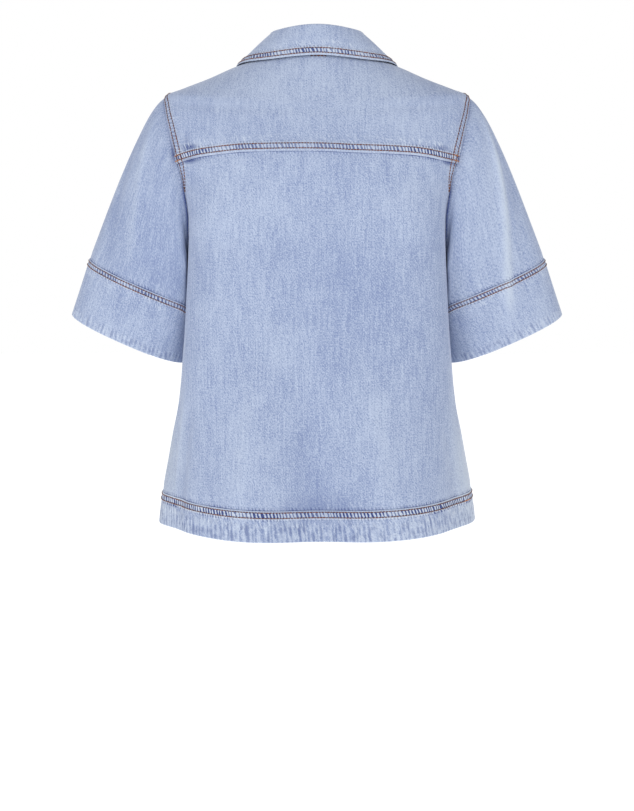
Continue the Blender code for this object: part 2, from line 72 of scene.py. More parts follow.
# %% The rings
HEM = -0.5865
HEM_SEAM = -0.5488
ARMPIT = -0.245
YOKE_SEAM = -0.123
SHOULDER = -0.040
NECK = 0.009

RING_COLUMNS = ("level", "half_width", "back", "front", "back_drop", "front_drop", "squareness")
RINGS = (
    (HEM, 0.2040, 0.142, 0.143, 0.0110, 0.004, 2.3),
    (HEM_SEAM, 0.1995, 0.138, 0.140, 0.0122, 0.006, 2.4),
    (-0.499, 0.1905, 0.132, 0.135, 0.0060, 0.003, 2.6),
    (-0.434, 0.1795, 0.124, 0.131, 0.0030, 0.001, 3.0),
    (-0.385, 0.1750, 0.119, 0.129, 0.0010, 0.000, 3.3),
    (-0.320, 0.1708, 0.115, 0.128, 0.0000, 0.000, 3.4),
    (ARMPIT, 0.1678, 0.113, 0.127, 0.0000, 0.000, 3.3),
    (-0.200, 0.1665, 0.111, 0.123, 0.0000, 0.004, 3.5),
    (-0.155, 0.1755, 0.109, 0.116, -0.0020, 0.018, 2.9),
    (YOKE_SEAM, 0.1892, 0.105, 0.108, -0.0040, 0.031, 2.6),
    (-0.090, 0.1960, 0.100, 0.100, 0.0090, 0.046, 2.5),
    (-0.060, 0.1990, 0.094, 0.091, 0.0180, 0.060, 2.4),
    (-0.048, 0.1990, 0.090, 0.086, 0.0190, 0.065, 2.3),
    (SHOULDER, 0.1960, 0.087, 0.083, 0.0180, 0.067, 2.3),
    (-0.031, 0.1745, 0.082, 0.078, 0.0140, 0.068, 2.2),
    (-0.018, 0.1410, 0.075, 0.071, 0.0090, 0.069, 2.1),
    (-0.005, 0.1120, 0.068, 0.065, 0.0040, 0.070, 2.0),
    (NECK, 0.0740, 0.060, 0.057, 0.0010, 0.068, 2.0),
)
HEM_TILT = 0.0015
HEM_TILT_STARTS = -0.38
# Flares towards the hem: centre and half spread in degrees, depth at the hem, level where it starts.
FLARES = (
    (25.0, 24.0, 0.010, -0.30),
    (0.0, 20.0, -0.010, -0.33),
    (-28.0, 27.0, 0.012, -0.27),
    (60.0, 17.0, -0.007, -0.36),
    (-58.0, 15.0, -0.003, -0.38),
    (122.0, 20.0, -0.006, -0.34),
    (150.0, 22.0, 0.008, -0.28),
    (-124.0, 20.0, -0.006, -0.30),
    (-152.0, 22.0, 0.008, -0.31),
)
# Where the sleeves press the sides in, and at which levels.
HOLLOW_DEPTH = 0.011
HOLLOW_CENTRE_Y = -0.038
HOLLOW_HALF_Y = 0.062
HOLLOW_FADE = ((-0.470, 0.0), (-0.385, 1.0), (-0.235, 1.0), (-0.150, 0.0))


def smooth(x, knots, values, level_start=False):
    """A monotone cubic through the knots."""
    knots, values = np.asarray(knots, float), np.asarray(values, float)
    run = np.diff(knots)
    slope = np.diff(values) / run
    tangent = np.zeros_like(values)
    tangent[0], tangent[-1] = 0.0 if level_start else slope[0], slope[-1]
    for i in range(1, len(knots) - 1):
        if slope[i - 1] * slope[i] > 0:
            tangent[i] = 2 * slope[i - 1] * slope[i] / (slope[i - 1] + slope[i])
    x = np.clip(np.asarray(x, float), knots[0], knots[-1])
    i = np.clip(np.searchsorted(knots, x, side="right") - 1, 0, len(run) - 1)
    h = run[i]
    t = (x - knots[i]) / h
    return (
        values[i] * (1 + 2 * t) * (1 - t) ** 2
        + tangent[i] * h * t * (1 - t) ** 2
        + values[i + 1] * t * t * (3 - 2 * t)
        + tangent[i + 1] * h * t * t * (t - 1)
    )


def column(table, names, name, x, level_start=False):
    place = names.index(name)
    return smooth(x, [row[0] for row in table], [row[place] for row in table], level_start)


def ring(name, level):
    return column(RINGS, RING_COLUMNS, name, level)


def ease(x):
    x = np.clip(x, 0.0, 1.0)
    return x * x * (3 - 2 * x)


print(f"{len(RINGS)} rings from {HEM} to {NECK} m")

# %% A point of the form
def flare(angle, level):
    out = np.zeros(np.broadcast(angle, level).shape)
    for centre, spread, depth, start in FLARES:
        off = (np.degrees(angle) - centre + 180) % 360 - 180
        across = 0.5 + 0.5 * np.cos(np.pi * np.clip(off / spread, -1, 1))
        out = out + depth * across * ease((start - level) / (start - HEM)) ** 1.3
    return out


def hollow(y, level):
    """How far the sleeves press the sides in."""
    fade = smooth(level, *zip(*HOLLOW_FADE))
    return HOLLOW_DEPTH * fade * np.exp(-(((y - HOLLOW_CENTRE_Y) / HOLLOW_HALF_Y) ** 2))


def body(angle, level):
    """angle runs from the centre back, through the wearer's left side at 90 degrees."""
    angle, level = np.broadcast_arrays(np.asarray(angle, float), np.asarray(level, float))
    n = ring("squareness", level)
    across, along = np.sin(angle), np.cos(angle)
    reach = (np.abs(across) ** n + np.abs(along) ** n) ** (-1 / n)
    depth = np.where(along > 0, ring("back", level), ring("front", level))
    out = flare(angle, level)
    x = (ring("half_width", level) + out) * reach * across
    y = (depth + out) * reach * along
    x = x - np.sign(x) * hollow(y, level) * np.minimum(1, np.abs(across) * 1.2)
    drop = np.where(along > 0, ring("back_drop", level), ring("front_drop", level))
    tilt = HEM_TILT * ease((HEM_TILT_STARTS - level) / (HEM_TILT_STARTS - HEM_SEAM)) * across
    return np.stack([x, y, level - drop * along**2 - tilt], axis=-1)


def unit(v):
    return v / np.maximum(np.linalg.norm(v, axis=-1, keepdims=True), 1e-12)


def body_normal(angle, level, step=1e-4):
    level = np.clip(level, HEM + 2 * step, NECK - 2 * step)
    du = body(angle + step, level) - body(angle - step, level)
    dv = body(angle, level + step) - body(angle, level - step)
    normal = unit(np.cross(du, dv))
    towards = np.sign(np.sum(normal[..., :2] * body(angle, level)[..., :2], axis=-1))
    return normal * np.where(towards == 0, 1, towards)[..., None]


print("centre back at the yoke seam:", body(0.0, YOKE_SEAM).round(3))

# %% [markdown]
# ## Where the panels end
# The armhole is a loop round the side of the form, the side seam runs down from the armpit and swings
# towards the back, and the fronts end near the centre line, the wearer's right lying over the left.

# %% Edges of the panels
SIDE_SEAM_DEG = ((HEM, 62.0), (-0.434, 68.0), (-0.320, 79.0), (ARMPIT, 90.0))
ARMHOLE_MIDDLE = (SHOULDER + ARMPIT) / 2
ARMHOLE_HALF_HEIGHT = (SHOULDER - ARMPIT) / 2
ARMHOLE_BACK_Y = 0.047
ARMHOLE_FRONT_Y = 0.055
LAP = 0.015  # how far each front goes past the centre line
LAP_STEP = 0.0022  # how far the under front goes in, and where it eases back out
LAP_REACH = 0.004
LAP_EASE = 0.028


def angle_at(y, level):
    """The angle, on the wearer's left, where the ring at that level has that y."""
    n = ring("squareness", level)
    depth = np.where(y > 0, ring("back", level), ring("front", level))
    share = np.clip(np.abs(y) / depth, 0, 1)
    return np.arctan2((1 - share**n) ** (1 / n), np.sign(y) * share)


def armhole_level(turn):
    return ARMHOLE_MIDDLE + ARMHOLE_HALF_HEIGHT * np.cos(turn)


def armhole_angle(turn):
    """turn is 0 at the shoulder, 90 degrees at the back of the armhole and 180 at the armpit."""
    half = np.where(np.sin(turn) > 0, ARMHOLE_BACK_Y, ARMHOLE_FRONT_Y)
    return angle_at(half * np.sin(turn), armhole_level(turn))


def armhole_turn(level):
    return np.arccos(np.clip((level - ARMHOLE_MIDDLE) / ARMHOLE_HALF_HEIGHT, -1, 1))


def side_edge(level, turn):
    """The angle of a panel's edge: shoulder seam, armhole or side seam, by level."""
    seam = np.radians(smooth(level, *zip(*SIDE_SEAM_DEG)))
    at_arm = armhole_angle(turn)
    return np.where(level < ARMPIT, seam, np.where(level > SHOULDER, np.pi / 2, at_arm))


def back_edge(level):
    return side_edge(level, armhole_turn(level))


def front_edge(level):
    return side_edge(level, 2 * np.pi - armhole_turn(level))


def front_angle(level, x):
    return np.pi - np.arcsin(x / ring("half_width", level))


def lap_step(x, step=LAP_STEP):
    """How far the under front goes in beneath the over front."""
    return step * ease((LAP + LAP_REACH + LAP_EASE - x) / LAP_EASE)


YOKE_TURN = float(armhole_turn(YOKE_SEAM))
print(f"the yoke ends {math.degrees(YOKE_TURN):.0f} degrees round the armhole")

# %% [markdown]
# ## The sleeves and the collar as surfaces
# A sleeve leaves the armhole in one direction and arrives at its band in another, so each line down it
# is a Hermite curve between two points with two directions. Where it would run into the body it is
# eased outwards. The collar stands on the neck seam, folds over and lies down to an edge that is drawn
# on the form, so it follows the shoulders.

# %% The sleeve
SLEEVE_OUTWARD_DEG = 22.0
SLEEVE_FORWARD_DEG = 8.0
SLEEVE_RINGS_DEG = 23.0
SLEEVE_HEM_CENTRE = np.array([0.2480, -0.043, -0.3530])
SLEEVE_HEM_HALF = (0.0825, 0.0560)
SLEEVE_BAND_HALF = (0.0865, 0.0540)
SLEEVE_BAND_DEPTH = 0.0760
SLEEVE_FULL_BACK = 0.012
SLEEVE_FULL_TURN_DEG = 128.0
SLEEVE_FULL_SPREAD_DEG = 34.0
SLEEVE_SQUARENESS = 2.2
SLEEVE_CLEAR = 0.0025  # kept free between the sleeve and the side
SLEEVE_CLEAR_SOFT = 0.004
SLEEVE_CLEAR_STARTS = 0.12  # as a share of the way down
SLEEVE_FULL_STARTS = 0.6
SEAM_GAP = 0.0003


def sleeve_axes():
    out, fwd = math.radians(SLEEVE_OUTWARD_DEG), math.radians(SLEEVE_FORWARD_DEG)
    along = np.array([math.sin(out) * math.cos(fwd), -math.sin(fwd), -math.cos(out) * math.cos(fwd)])
    tip = math.radians(SLEEVE_RINGS_DEG)
    across = np.array([math.cos(tip), 0.0, math.sin(tip)])
    backward = np.cross(along, across)
    return along, across, backward * np.sign(backward[1])


ALONG, ACROSS, BACKWARD = sleeve_axes()
BAND_TOP = SLEEVE_HEM_CENTRE - ALONG * SLEEVE_BAND_DEPTH


def sleeve_ring(turn, half, centre):
    c, s = np.cos(turn)[..., None], np.sin(turn)[..., None]
    n = SLEEVE_SQUARENESS
    reach = (np.abs(c) ** n + np.abs(s) ** n) ** (-1 / n)
    return centre + reach * (half[0] * c * ACROSS + half[1] * s * BACKWARD)


def lowness(turn):
    """0 at the shoulder and 1 at the armpit."""
    return ((1 - np.cos(turn)) / 2) ** 1.6


def clear_of_body(points, share):
    x, y, z = points[..., 0], points[..., 1], points[..., 2]
    level = np.clip(z, HEM, ARMHOLE_MIDDLE)
    side = body(angle_at(y, level), level)[..., 0] + SLEEVE_CLEAR
    pushed = side + SLEEVE_CLEAR_SOFT * np.logaddexp(0, (x - side) / SLEEVE_CLEAR_SOFT)
    weight = ease(share / SLEEVE_CLEAR_STARTS) * (z < ARMHOLE_MIDDLE)
    moved = points.copy()
    moved[..., 0] = x + (np.maximum(pushed, x) - x) * weight
    return moved


def full_back(points, turn, share):
    """The back of the sleeve stands out beside the body, more so further down."""
    off = (np.degrees(turn) - SLEEVE_FULL_TURN_DEG + 180) % 360 - 180
    fullness = SLEEVE_FULL_BACK * np.exp(-((off / SLEEVE_FULL_SPREAD_DEG) ** 2))
    moved = points.copy()
    moved[..., 1] += fullness * ease(share / SLEEVE_FULL_STARTS)
    return moved


def sleeve(turn, share):
    """share is 0 at the armhole and 1 at the band's seam.

    The cloth leaves the armhole sideways at the shoulder, and straight down at the armpit.
    """
    turn, share = np.broadcast_arrays(np.asarray(turn, float), np.asarray(share, float))
    low = lowness(turn)
    angle, level = armhole_angle(turn % (2 * np.pi)), armhole_level(turn)
    start = body(angle, level)
    out, back, down = 0.78 - 0.60 * low, 0.30 * np.sin(turn) * (1 - low), -0.56 - 0.44 * low
    way = unit(np.stack([out, back, down], axis=-1))
    lap_out = body_normal(angle, level) * low[..., None]
    start = start + SEAM_GAP * (way + 2.0 * lap_out)
    end = sleeve_ring(turn, SLEEVE_BAND_HALF, BAND_TOP)
    arrive = ALONG * (0.26 - 0.17 * low)[..., None]
    s = share[..., None]
    points = (
        start * (1 + 2 * s) * (1 - s) ** 2
        + way * (0.112 - 0.052 * low)[..., None] * s * (1 - s) ** 2
        + end * s * s * (3 - 2 * s)
        + arrive * s * s * (s - 1)
    )
    return clear_of_body(full_back(points, turn, share), share)


def band(turn, share):
    """share is 0 at the band's seam and 1 at its folded lower edge."""
    turn, share = np.broadcast_arrays(np.asarray(turn, float), np.asarray(share, float))
    s = share[..., None]
    low = sleeve_ring(turn, SLEEVE_HEM_HALF, SLEEVE_HEM_CENTRE)
    points = sleeve_ring(turn, SLEEVE_BAND_HALF, BAND_TOP) * (1 - s) + low * s
    return clear_of_body(full_back(points, turn, np.ones_like(share)), np.ones_like(share))


print(f"the sleeve's hem is {200 * SLEEVE_HEM_HALF[0]:.1f} cm wide in the outline")

# %% The collar
COLLAR_COLUMNS = ("angle_deg", "rise", "lean", "edge_level", "edge_lift")
COLLAR = (
    (0.0, 0.0332, -0.0085, 0.0050, 0.0040),
    (45.0, 0.0297, -0.0130, 0.0003, 0.0026),
    (65.0, 0.0284, -0.0148, -0.0003, 0.0021),
    (90.0, 0.0212, -0.0160, -0.0015, 0.0014),
    (130.0, 0.0240, -0.0090, -0.0085, 0.0028),
    (148.0, 0.0240, -0.0065, -0.0195, 0.0040),
    (160.0, 0.0240, -0.0055, -0.0380, 0.0040),
    (180.0, 0.0240, -0.0050, -0.0400, 0.0040),
)
STAND_HALF_WALL = 0.00075
STAND_SHARE = 0.80  # how much of the way to the fold is the stand's
LEAF_SHARE = 0.825  # where the leaf starts on that way, and where it leaves it
LEAF_LEAVES = 0.97
LEAF_END = 0.012
LEAF_POINT_SLANT_DEG = 11.0
LEAF_POINT_POWER = 7
FOLD_RADIUS = 0.0030
LEAF_ROLL = 0.0016
UP = np.array([0.0, 0.0, 1.0])


def collar_value(name, angle):
    return column(COLLAR, COLLAR_COLUMNS, name, np.abs(np.degrees(angle)), level_start=True)[..., None]


def collar_root(angle, step=1e-4):
    """The foot of the stand, where the fold begins, and the way outwards."""
    level = np.full_like(angle, NECK)
    along = body(angle + step, level) - body(angle - step, level)
    out = unit(np.stack([-along[..., 1], along[..., 0], 0 * angle], axis=-1))
    edge = body(angle, level)
    under = np.where(angle > np.pi / 2, lap_step(edge[..., 0]), 0.0)[..., None]
    foot = edge + UP * 2 * SEAM_GAP - out * (STAND_HALF_WALL + under)
    fold = foot + UP * collar_value("rise", angle) + out * collar_value("lean", angle)
    return foot, fold, out


def leaf_edge(angle):
    level = collar_value("edge_level", angle)[..., 0]
    return body(angle, level) + body_normal(angle, level) * collar_value("edge_lift", angle)


def leaf_surface(angles, fold_steps=7, fall_steps=34):
    """Rows from the seam on the stand, over the fold and down to the edge."""
    foot, fold, out = collar_root(angles)
    rows = [foot + (fold - foot) * share for share in np.linspace(LEAF_SHARE, LEAF_LEAVES, 3)]
    centre = fold + out * FOLD_RADIUS
    for turn in np.radians(np.linspace(180, 15, fold_steps)):
        rows.append(centre + FOLD_RADIUS * (out * math.cos(turn) + UP * math.sin(turn)))
    over = rows[-1]
    slant = math.radians(LEAF_POINT_SLANT_DEG) * (angles / angles[-1]) ** LEAF_POINT_POWER
    for share in np.linspace(0, 1, fall_steps + 1)[1:]:
        fall = over * (1 - share) + leaf_edge(angles - slant * share) * share
        rows.append(fall + (out + UP * 0.5) * LEAF_ROLL * 4 * share * (1 - share))
    return np.array(rows)


print("the fold at the centre back is", collar_root(np.zeros(1))[1].round(4))

# %% [markdown]
# ## Cloth with its seams
# Denim that is washed after sewing shrinks between its stitches. Each seam then ripples: the tops of
# the ripples wear pale and the dips stay dark. So each point of the cloth needs to know how far it is
# from a seam's folded edge, and where along the seam it is, counted in ripples. Those numbers move the
# points here, and they are kept as attributes, so that the finish can colour the same ripples.

# %% A layer of cloth
CLOTH = 0.0008  # one layer
DOUBLE = 0.0011  # a folded band, or the collar
ROW_NEAR = 0.0022  # from a folded edge to the nearer row of stitches
ROW_FAR = 0.0084
LAP_OVER = 0.0003  # how far a lapped edge covers its neighbour
SINK = 0.0006  # how far the covered edge goes in beneath it
SEAM_REACH = 0.030
FOLD_WEAR_AND_LIGHT = 90.0  # how much paler a ridge is, and a trough darker, for each metre of its height: wear and painted light and shade together
SHARP_FOLD = 0.0012  # a ridge higher than this goes grey as well, wear together with its painted highlight
PLATEAU_PAST = 0.0006  # how far past its far row a lapped seam stays raised, and then falls
PLATEAU_FADE = 0.0035
SUNK_UNTIL = 0.0015  # the same for a covered edge
SUNK_FADE = 0.011
LAP_AIR = 0.0001
PINCH_DEPTH = 0.00022  # how far a row of stitches pulls the cloth in
PINCH_WIDTH = 0.0009
RIPPLE_PITCH = 0.0044
RIPPLE_HEIGHT = 0.00020
RIPPLE_UNDER = 0.00012  # the height on the cloth beside the fold
RIPPLE_FULL = 0.011  # how far out the ripples keep their height
RIPPLE_FULL_UNDER = 0.002
RIPPLE_FADE = 0.008
RIPPLE_LEAN = 0.3  # how far a ripple goes sideways for each step down
ROPE_PITCH = 0.0060
WANDER_KNOTS = 1024
AT_ONCE = 4000  # points measured together


def wander(x, seed, step):
    """Smooth values between -1 and 1 that change over about one step."""
    knots = np.random.default_rng(seed).uniform(-1, 1, WANDER_KNOTS)
    t = np.asarray(x) / step + 200.0
    i = np.floor(t).astype(int)
    f = ease(t - i)
    return knots[i % WANDER_KNOTS] * (1 - f) + knots[(i + 1) % WANDER_KNOTS] * f


def running_length(points, axis):
    steps = np.linalg.norm(np.diff(points, axis=axis), axis=-1)
    start = np.zeros_like(np.take(steps, [0], axis=axis))
    return np.concatenate([start, np.cumsum(steps, axis=axis)], axis=axis)


def ripples(phase, distance, full_until):
    """Waves along a seam, at their full height near it and gone a little further out."""
    return np.sin(2 * np.pi * phase) * (1 - ease((distance - full_until) / RIPPLE_FADE))


def from_edge(points, edge):
    """How far each point is from a line of points, and the running length there."""
    flat = points.reshape(-1, 3)
    at = running_length(edge, 0)
    near = np.empty(len(flat), int)
    for start in range(0, len(flat), AT_ONCE):
        part = flat[start:start + AT_ONCE]
        near[start:start + AT_ONCE] = np.argmin(((part[:, None] - edge[None]) ** 2).sum(-1), axis=1)
    best, place = np.full(len(flat), np.inf), np.zeros(len(flat))
    for other in (-1, 0):
        a = np.clip(near + other, 0, len(edge) - 2)
        way = edge[a + 1] - edge[a]
        t = np.clip(np.sum((flat - edge[a]) * way, -1) / np.maximum(np.sum(way * way, -1), 1e-12), 0, 1)
        off = np.linalg.norm(flat - edge[a] - way * t[:, None], axis=-1)
        closer = off < best
        best = np.where(closer, off, best)
        place = np.where(closer, at[a] + t * (at[a + 1] - at[a]), place)
    shape = points.shape[:2]
    return best.reshape(shape), place.reshape(shape)


INDIGO_SHADOW_FROM_Y = 0.02  # painted shadows, in indigo, are on the back only
WASH_AND_LIGHT_SPOTS = (  # x, z, how far the spot reaches along each, and how much paler, greyer and more indigo as painted shadow; many spots are painted light and shade
    (-0.100, -0.300, 0.080, 0.110, -0.12, 0.0, 0.0),
    (0.000, -0.290, 0.060, 0.090, -0.05, 0.0, 0.0),
    (0.100, -0.300, 0.060, 0.120, 0.05, 0.0, 0.0),
    (0.000, -0.600, 0.060, 0.028, -0.28, 0.0, 0.0),
    (0.000, -0.556, 0.050, 0.016, -0.16, 0.0, 0.15),
    (0.105, -0.592, 0.050, 0.020, -0.14, 0.0, 0.0),
    (0.196, -0.500, 0.026, 0.085, -0.14, 0.74, 0.0),
    (-0.198, -0.500, 0.026, 0.085, 0.42, 0.80, 0.0),
    # painted light on the sleeves: the left one darker with its outer edge lighter, the right one darker
    # beside its ridge
    (0.214, -0.220, 0.038, 0.085, -0.28, 0.0, 0.0),
    (0.262, -0.230, 0.030, 0.080, -0.08, 0.10, 0.0),
    (0.235, -0.310, 0.040, 0.030, -0.07, 0.0, 0.0),
    (0.256, -0.155, 0.014, 0.030, 0.26, 0.0, 0.0),
    (0.282, -0.265, 0.014, 0.040, 0.16, 0.0, 0.0),
    (-0.208, -0.220, 0.014, 0.090, -0.10, 0.0, 0.0),
    (0.000, -0.030, 0.150, 0.045, 0.13, 0.0, 0.0),
    (0.000, -0.160, 0.120, 0.030, -0.05, 0.0, 0.0),
    (0.130, -0.300, 0.030, 0.060, -0.07, 0.0, 0.0),
    (0.000, 0.032, 0.100, 0.022, 0.08, 0.0, 0.0),
    # a painted highlight down each edge of the torso
    (0.1700, -0.290, 0.0030, 0.110, 0.22, 0.0, 0.0),
    (-0.1700, -0.290, 0.0030, 0.110, 0.22, 0.0, 0.0),
    # painted shadows, in indigo, under the yoke's fold at its corners and beside the armholes
    (0.161, -0.1285, 0.013, 0.0034, 0.0, 0.0, 1.00),
    (0.161, -0.1120, 0.010, 0.0036, 0.0, 0.0, 0.90),
    (0.164, -0.1030, 0.004, 0.0040, 0.0, 0.0, 0.30),
    (0.182, -0.1170, 0.003, 0.0100, 0.0, 0.0, 0.80),
    (-0.168, -0.1310, 0.009, 0.0034, 0.0, 0.0, 0.95),
    (-0.156, -0.1140, 0.010, 0.0030, 0.0, 0.0, 0.60),
    (-0.100, -0.080, 0.040, 0.030, 0.10, 0.0, 0.0),
    (-0.090, -0.592, 0.050, 0.020, 0.10, 0.0, 0.0),
    (-0.198, -0.560, 0.020, 0.040, 0.10, 0.0, 0.0),
    # painted light: the right sleeve lighter, where more light falls on it
    (-0.225, -0.220, 0.050, 0.090, 0.14, 0.0, 0.0),
)


def wash_and_light_at(points):
    """How the washing and the painted light and shade have left each place: how much paler, how much
    greyer and how much painted shadow in deep blue.
    """
    total = np.zeros(points.shape)
    for x, z, reach_x, reach_z, *values in WASH_AND_LIGHT_SPOTS:
        weight = np.exp(-((points[..., 0] - x) / reach_x) ** 2 - ((points[..., 2] - z) / reach_z) ** 2)
        total += weight[..., None] * np.array(values)
    total[..., 2] *= ease(points[..., 1] / INDIGO_SHADOW_FROM_Y)
    return total


def seam_key(side):
    return "seam_rows" if side in ("top", "bottom") else "seam_sides"


class Cloth:
    """A grid of points on the outside of a panel, with what its seams do to it."""

    def __init__(self, name, points, normals, thickness):
        self.name, self.base, self.normals, self.thickness = name, points, normals, thickness
        self.lift = np.zeros(points.shape[:2])
        self.shift = np.zeros_like(points)
        shape = points.shape[:2] + (3,)
        self.fields = {key: np.zeros(shape) for key in ("seam_rows", "seam_sides", "hem_fold")}
        self.rows = []
        self.wash = wash_and_light_at(points)
        middle = points.shape[1] // 2
        across = running_length(points, 1)
        facing = np.cross(np.gradient(points, axis=1), np.gradient(points, axis=0))
        self.right = -1 if np.sum(facing * normals) > 0 else 1  # 1 if columns run to the right
        across = self.right * (across - across[:, middle:middle + 1])
        self.grain = np.stack([across, -running_length(points, 0)], -1)

    def crease(self, height):
        """Folds: washing leaves them paler along their tops and darker in their troughs, and a painted
        highlight and painted shade on them add to it.
        """
        self.lift += height
        self.wash[..., 0] += FOLD_WEAR_AND_LIGHT * height
        self.wash[..., 1] += 2 * FOLD_WEAR_AND_LIGHT * np.maximum(height - SHARP_FOLD, 0)

    def edge(self, side, start=0, stop=None):
        line = {"top": self.base[0], "bottom": self.base[-1],
                "first": self.base[:, 0], "last": self.base[:, -1]}[side]
        return line[start:stop]

    def keep(self, key, phase, distance, strength, window):
        """Write a seam's numbers where the seam is nearer than the one written before."""
        field = self.fields[key]
        closer = window & ((field[..., 2] == 0) | (np.abs(distance) < np.abs(field[..., 1])))
        field[closer] = np.stack([phase, distance, strength + 0 * phase], -1)[closer]

    def extend(self, side, start, stop, by):
        """Let a lapped edge cover its neighbour a little."""
        part, is_row = slice(start, stop), side in ("top", "bottom")
        pair = (0, 1) if side in ("top", "first") else (-1, -2)
        at, inner = ((place, part) if is_row else (part, place) for place in pair)
        self.shift[at] += unit(self.base[at] - self.base[inner]) * by

    def slant(self, side):
        """What a seam's ripples have to lean so that they run down to the right, as the twill does."""
        return RIPPLE_LEAN * self.right * (1 if side in ("bottom", "last") else -1)

    def seam_phase(self, side, place, distance, seed):
        uneven = 0.0013 * wander(place, seed, 0.007) + 0.0020 * wander(place, seed + 500, 0.031)
        return (place + uneven + self.slant(side) * distance) / RIPPLE_PITCH

    def lapped(self, side, seed, start=0, stop=None, strength=1.0, wide=1.0, inset=0.0, proud=1.0):
        """A folded edge that lies on its neighbour, sewn down by two rows of stitches.

        wide stretches the seam and inset moves its rows in; both, and strength, may be given for each
        point of the edge. Where a seam gets very narrow it is hidden, and has no stitches. proud says
        how much of its thickness it stands out.
        """
        edge = self.edge(side, start, stop)
        distance, place = from_edge(self.base, edge)
        at = running_length(edge, 0)
        strength, wide, inset = (np.broadcast_to(value, at.shape) for value in (strength, wide, inset))
        shows = wide > 0.5
        self.rows += [(edge[shows], (row * wide + inset)[shows]) for row in (ROW_NEAR, ROW_FAR)]
        strength, wide, inset = (np.interp(place, at, values) for values in (strength, wide, inset))
        phase = self.seam_phase(side, place, distance, seed)
        distance = np.maximum(distance - inset, 0) / wide
        window = distance < SEAM_REACH
        self.keep(seam_key(side), phase, distance, strength, window)
        plateau = 1 - ease((distance - ROW_FAR - PLATEAU_PAST) / PLATEAU_FADE)
        raised = (self.thickness + LAP_AIR - SINK) * plateau * proud
        pinch = sum(np.exp(-(((distance - row) / PINCH_WIDTH) ** 2)) for row in (ROW_NEAR, ROW_FAR))
        uneven = 0.6 + 0.4 * wander(place, seed + 1, 0.02)
        waves = RIPPLE_HEIGHT * strength * uneven * ripples(phase, distance, RIPPLE_FULL)
        self.lift += np.where(window, raised - PINCH_DEPTH * pinch + waves, 0)
        self.extend(side, start, stop, LAP_OVER)

    def under(self, side, seed, start=0, stop=None, strength=1.0):
        """An edge that goes beneath its neighbour's fold."""
        edge = self.edge(side, start, stop)
        distance, place = from_edge(self.base, edge)
        at = running_length(edge, 0)
        strength = np.interp(place, at, np.broadcast_to(strength, at.shape))
        phase = self.seam_phase(side, place, distance, seed)
        window = distance < SEAM_REACH
        self.keep(seam_key(side), phase, -distance - 1e-5, strength, window)
        sunk = SINK * (1 - ease((distance - SUNK_UNTIL) / SUNK_FADE))
        waves = RIPPLE_UNDER * strength * ripples(phase, distance, RIPPLE_FULL_UNDER)
        self.lift += np.where(window, waves - sunk, 0)

    def plain_seam(self, side, start=0, depth=0.0006):
        """Two edges sewn on the inside: only a soft groove shows."""
        distance, _ = from_edge(self.base, self.edge(side, start))
        self.lift -= depth * np.exp(-((distance / 0.0016) ** 2))
        self.lift += 0.5 * depth * np.exp(-(((distance - 0.005) / 0.003) ** 2))

    def folded_hem(self, side, seed, reach, height, strength=1.0):
        """A folded edge whose layers have twisted into ropes."""
        distance, place = from_edge(self.base, self.edge(side))
        uneven = 0.0026 * wander(place, seed, 0.010) + 0.0050 * wander(place, seed + 500, 0.037)
        phase = (place + uneven + 0.4 * self.slant(side) * distance) / ROPE_PITCH
        window = distance < reach + 0.006
        self.keep("hem_fold", phase, distance, strength, window)
        fade = 1 - ease((distance - 0.6 * reach) / (0.4 * reach))
        uneven = 0.55 + 0.45 * wander(place, seed + 1, 0.03)
        self.lift += np.where(window, height * uneven * np.sin(2 * np.pi * phase) * fade, 0)

    def finished(self):
        return self.base + self.shift + self.normals * self.lift[..., None]


print(f"seams have rows {1000 * ROW_NEAR:.1f} and {1000 * ROW_FAR:.1f} mm from the fold")

# %% [markdown]
# ## Creases
# Each crease is a soft trough or ridge between two places, wider than it is deep, and fades at both
# ends. They are listed one by one: drag lines from the armpits, long folds down to the flares of the
# hem, and the fold down the back of each sleeve. On the body a place is an angle and a level; on a
# sleeve it is an angle round the sleeve and a distance down it.

# %% Crease tables
# From an angle in degrees and a place down, to another; then the width, the height and the bow sideways.
BODY_CREASES = (
    (22, -0.36, 28, -0.58, 0.016, 0.0016, 0.004),
    (-19, -0.38, -25, -0.58, 0.015, 0.0016, -0.003),
    (3, -0.40, 0, -0.59, 0.018, -0.0016, 0.000),
    (51, -0.42, 57, -0.59, 0.009, -0.0018, 0.003),
    (57, -0.40, 64, -0.57, 0.007, 0.0014, 0.002),
    (-52, -0.44, -58, -0.59, 0.010, -0.0014, -0.002),
    (62, -0.215, 38, -0.30, 0.010, -0.0010, 0.006),
    (-60, -0.205, -34, -0.285, 0.010, -0.0010, -0.006),
    (34, -0.13, 44, -0.23, 0.020, 0.0009, 0.000),
    (-31, -0.14, -42, -0.25, 0.022, 0.0009, 0.000),
    (12, -0.20, 9, -0.36, 0.026, -0.0010, 0.004),
    (-10, -0.24, -13, -0.40, 0.024, -0.0009, -0.004),
    (120, -0.19, 150, -0.27, 0.010, -0.0017, 0.008),
    (-118, -0.20, -150, -0.26, 0.011, -0.0015, -0.008),
    (112, -0.23, 138, -0.34, 0.012, -0.0012, 0.006),
    (128, -0.30, 140, -0.54, 0.016, 0.0022, 0.004),
    (-132, -0.33, -141, -0.57, 0.015, 0.0022, -0.005),
    (160, -0.36, 157, -0.59, 0.014, -0.0018, 0.002),
    (-165, -0.40, -160, -0.59, 0.013, -0.0014, 0.002),
    (100, -0.40, 103, -0.58, 0.010, 0.0018, 0.003),
    (-98, -0.38, -104, -0.57, 0.011, 0.0018, -0.003),
)
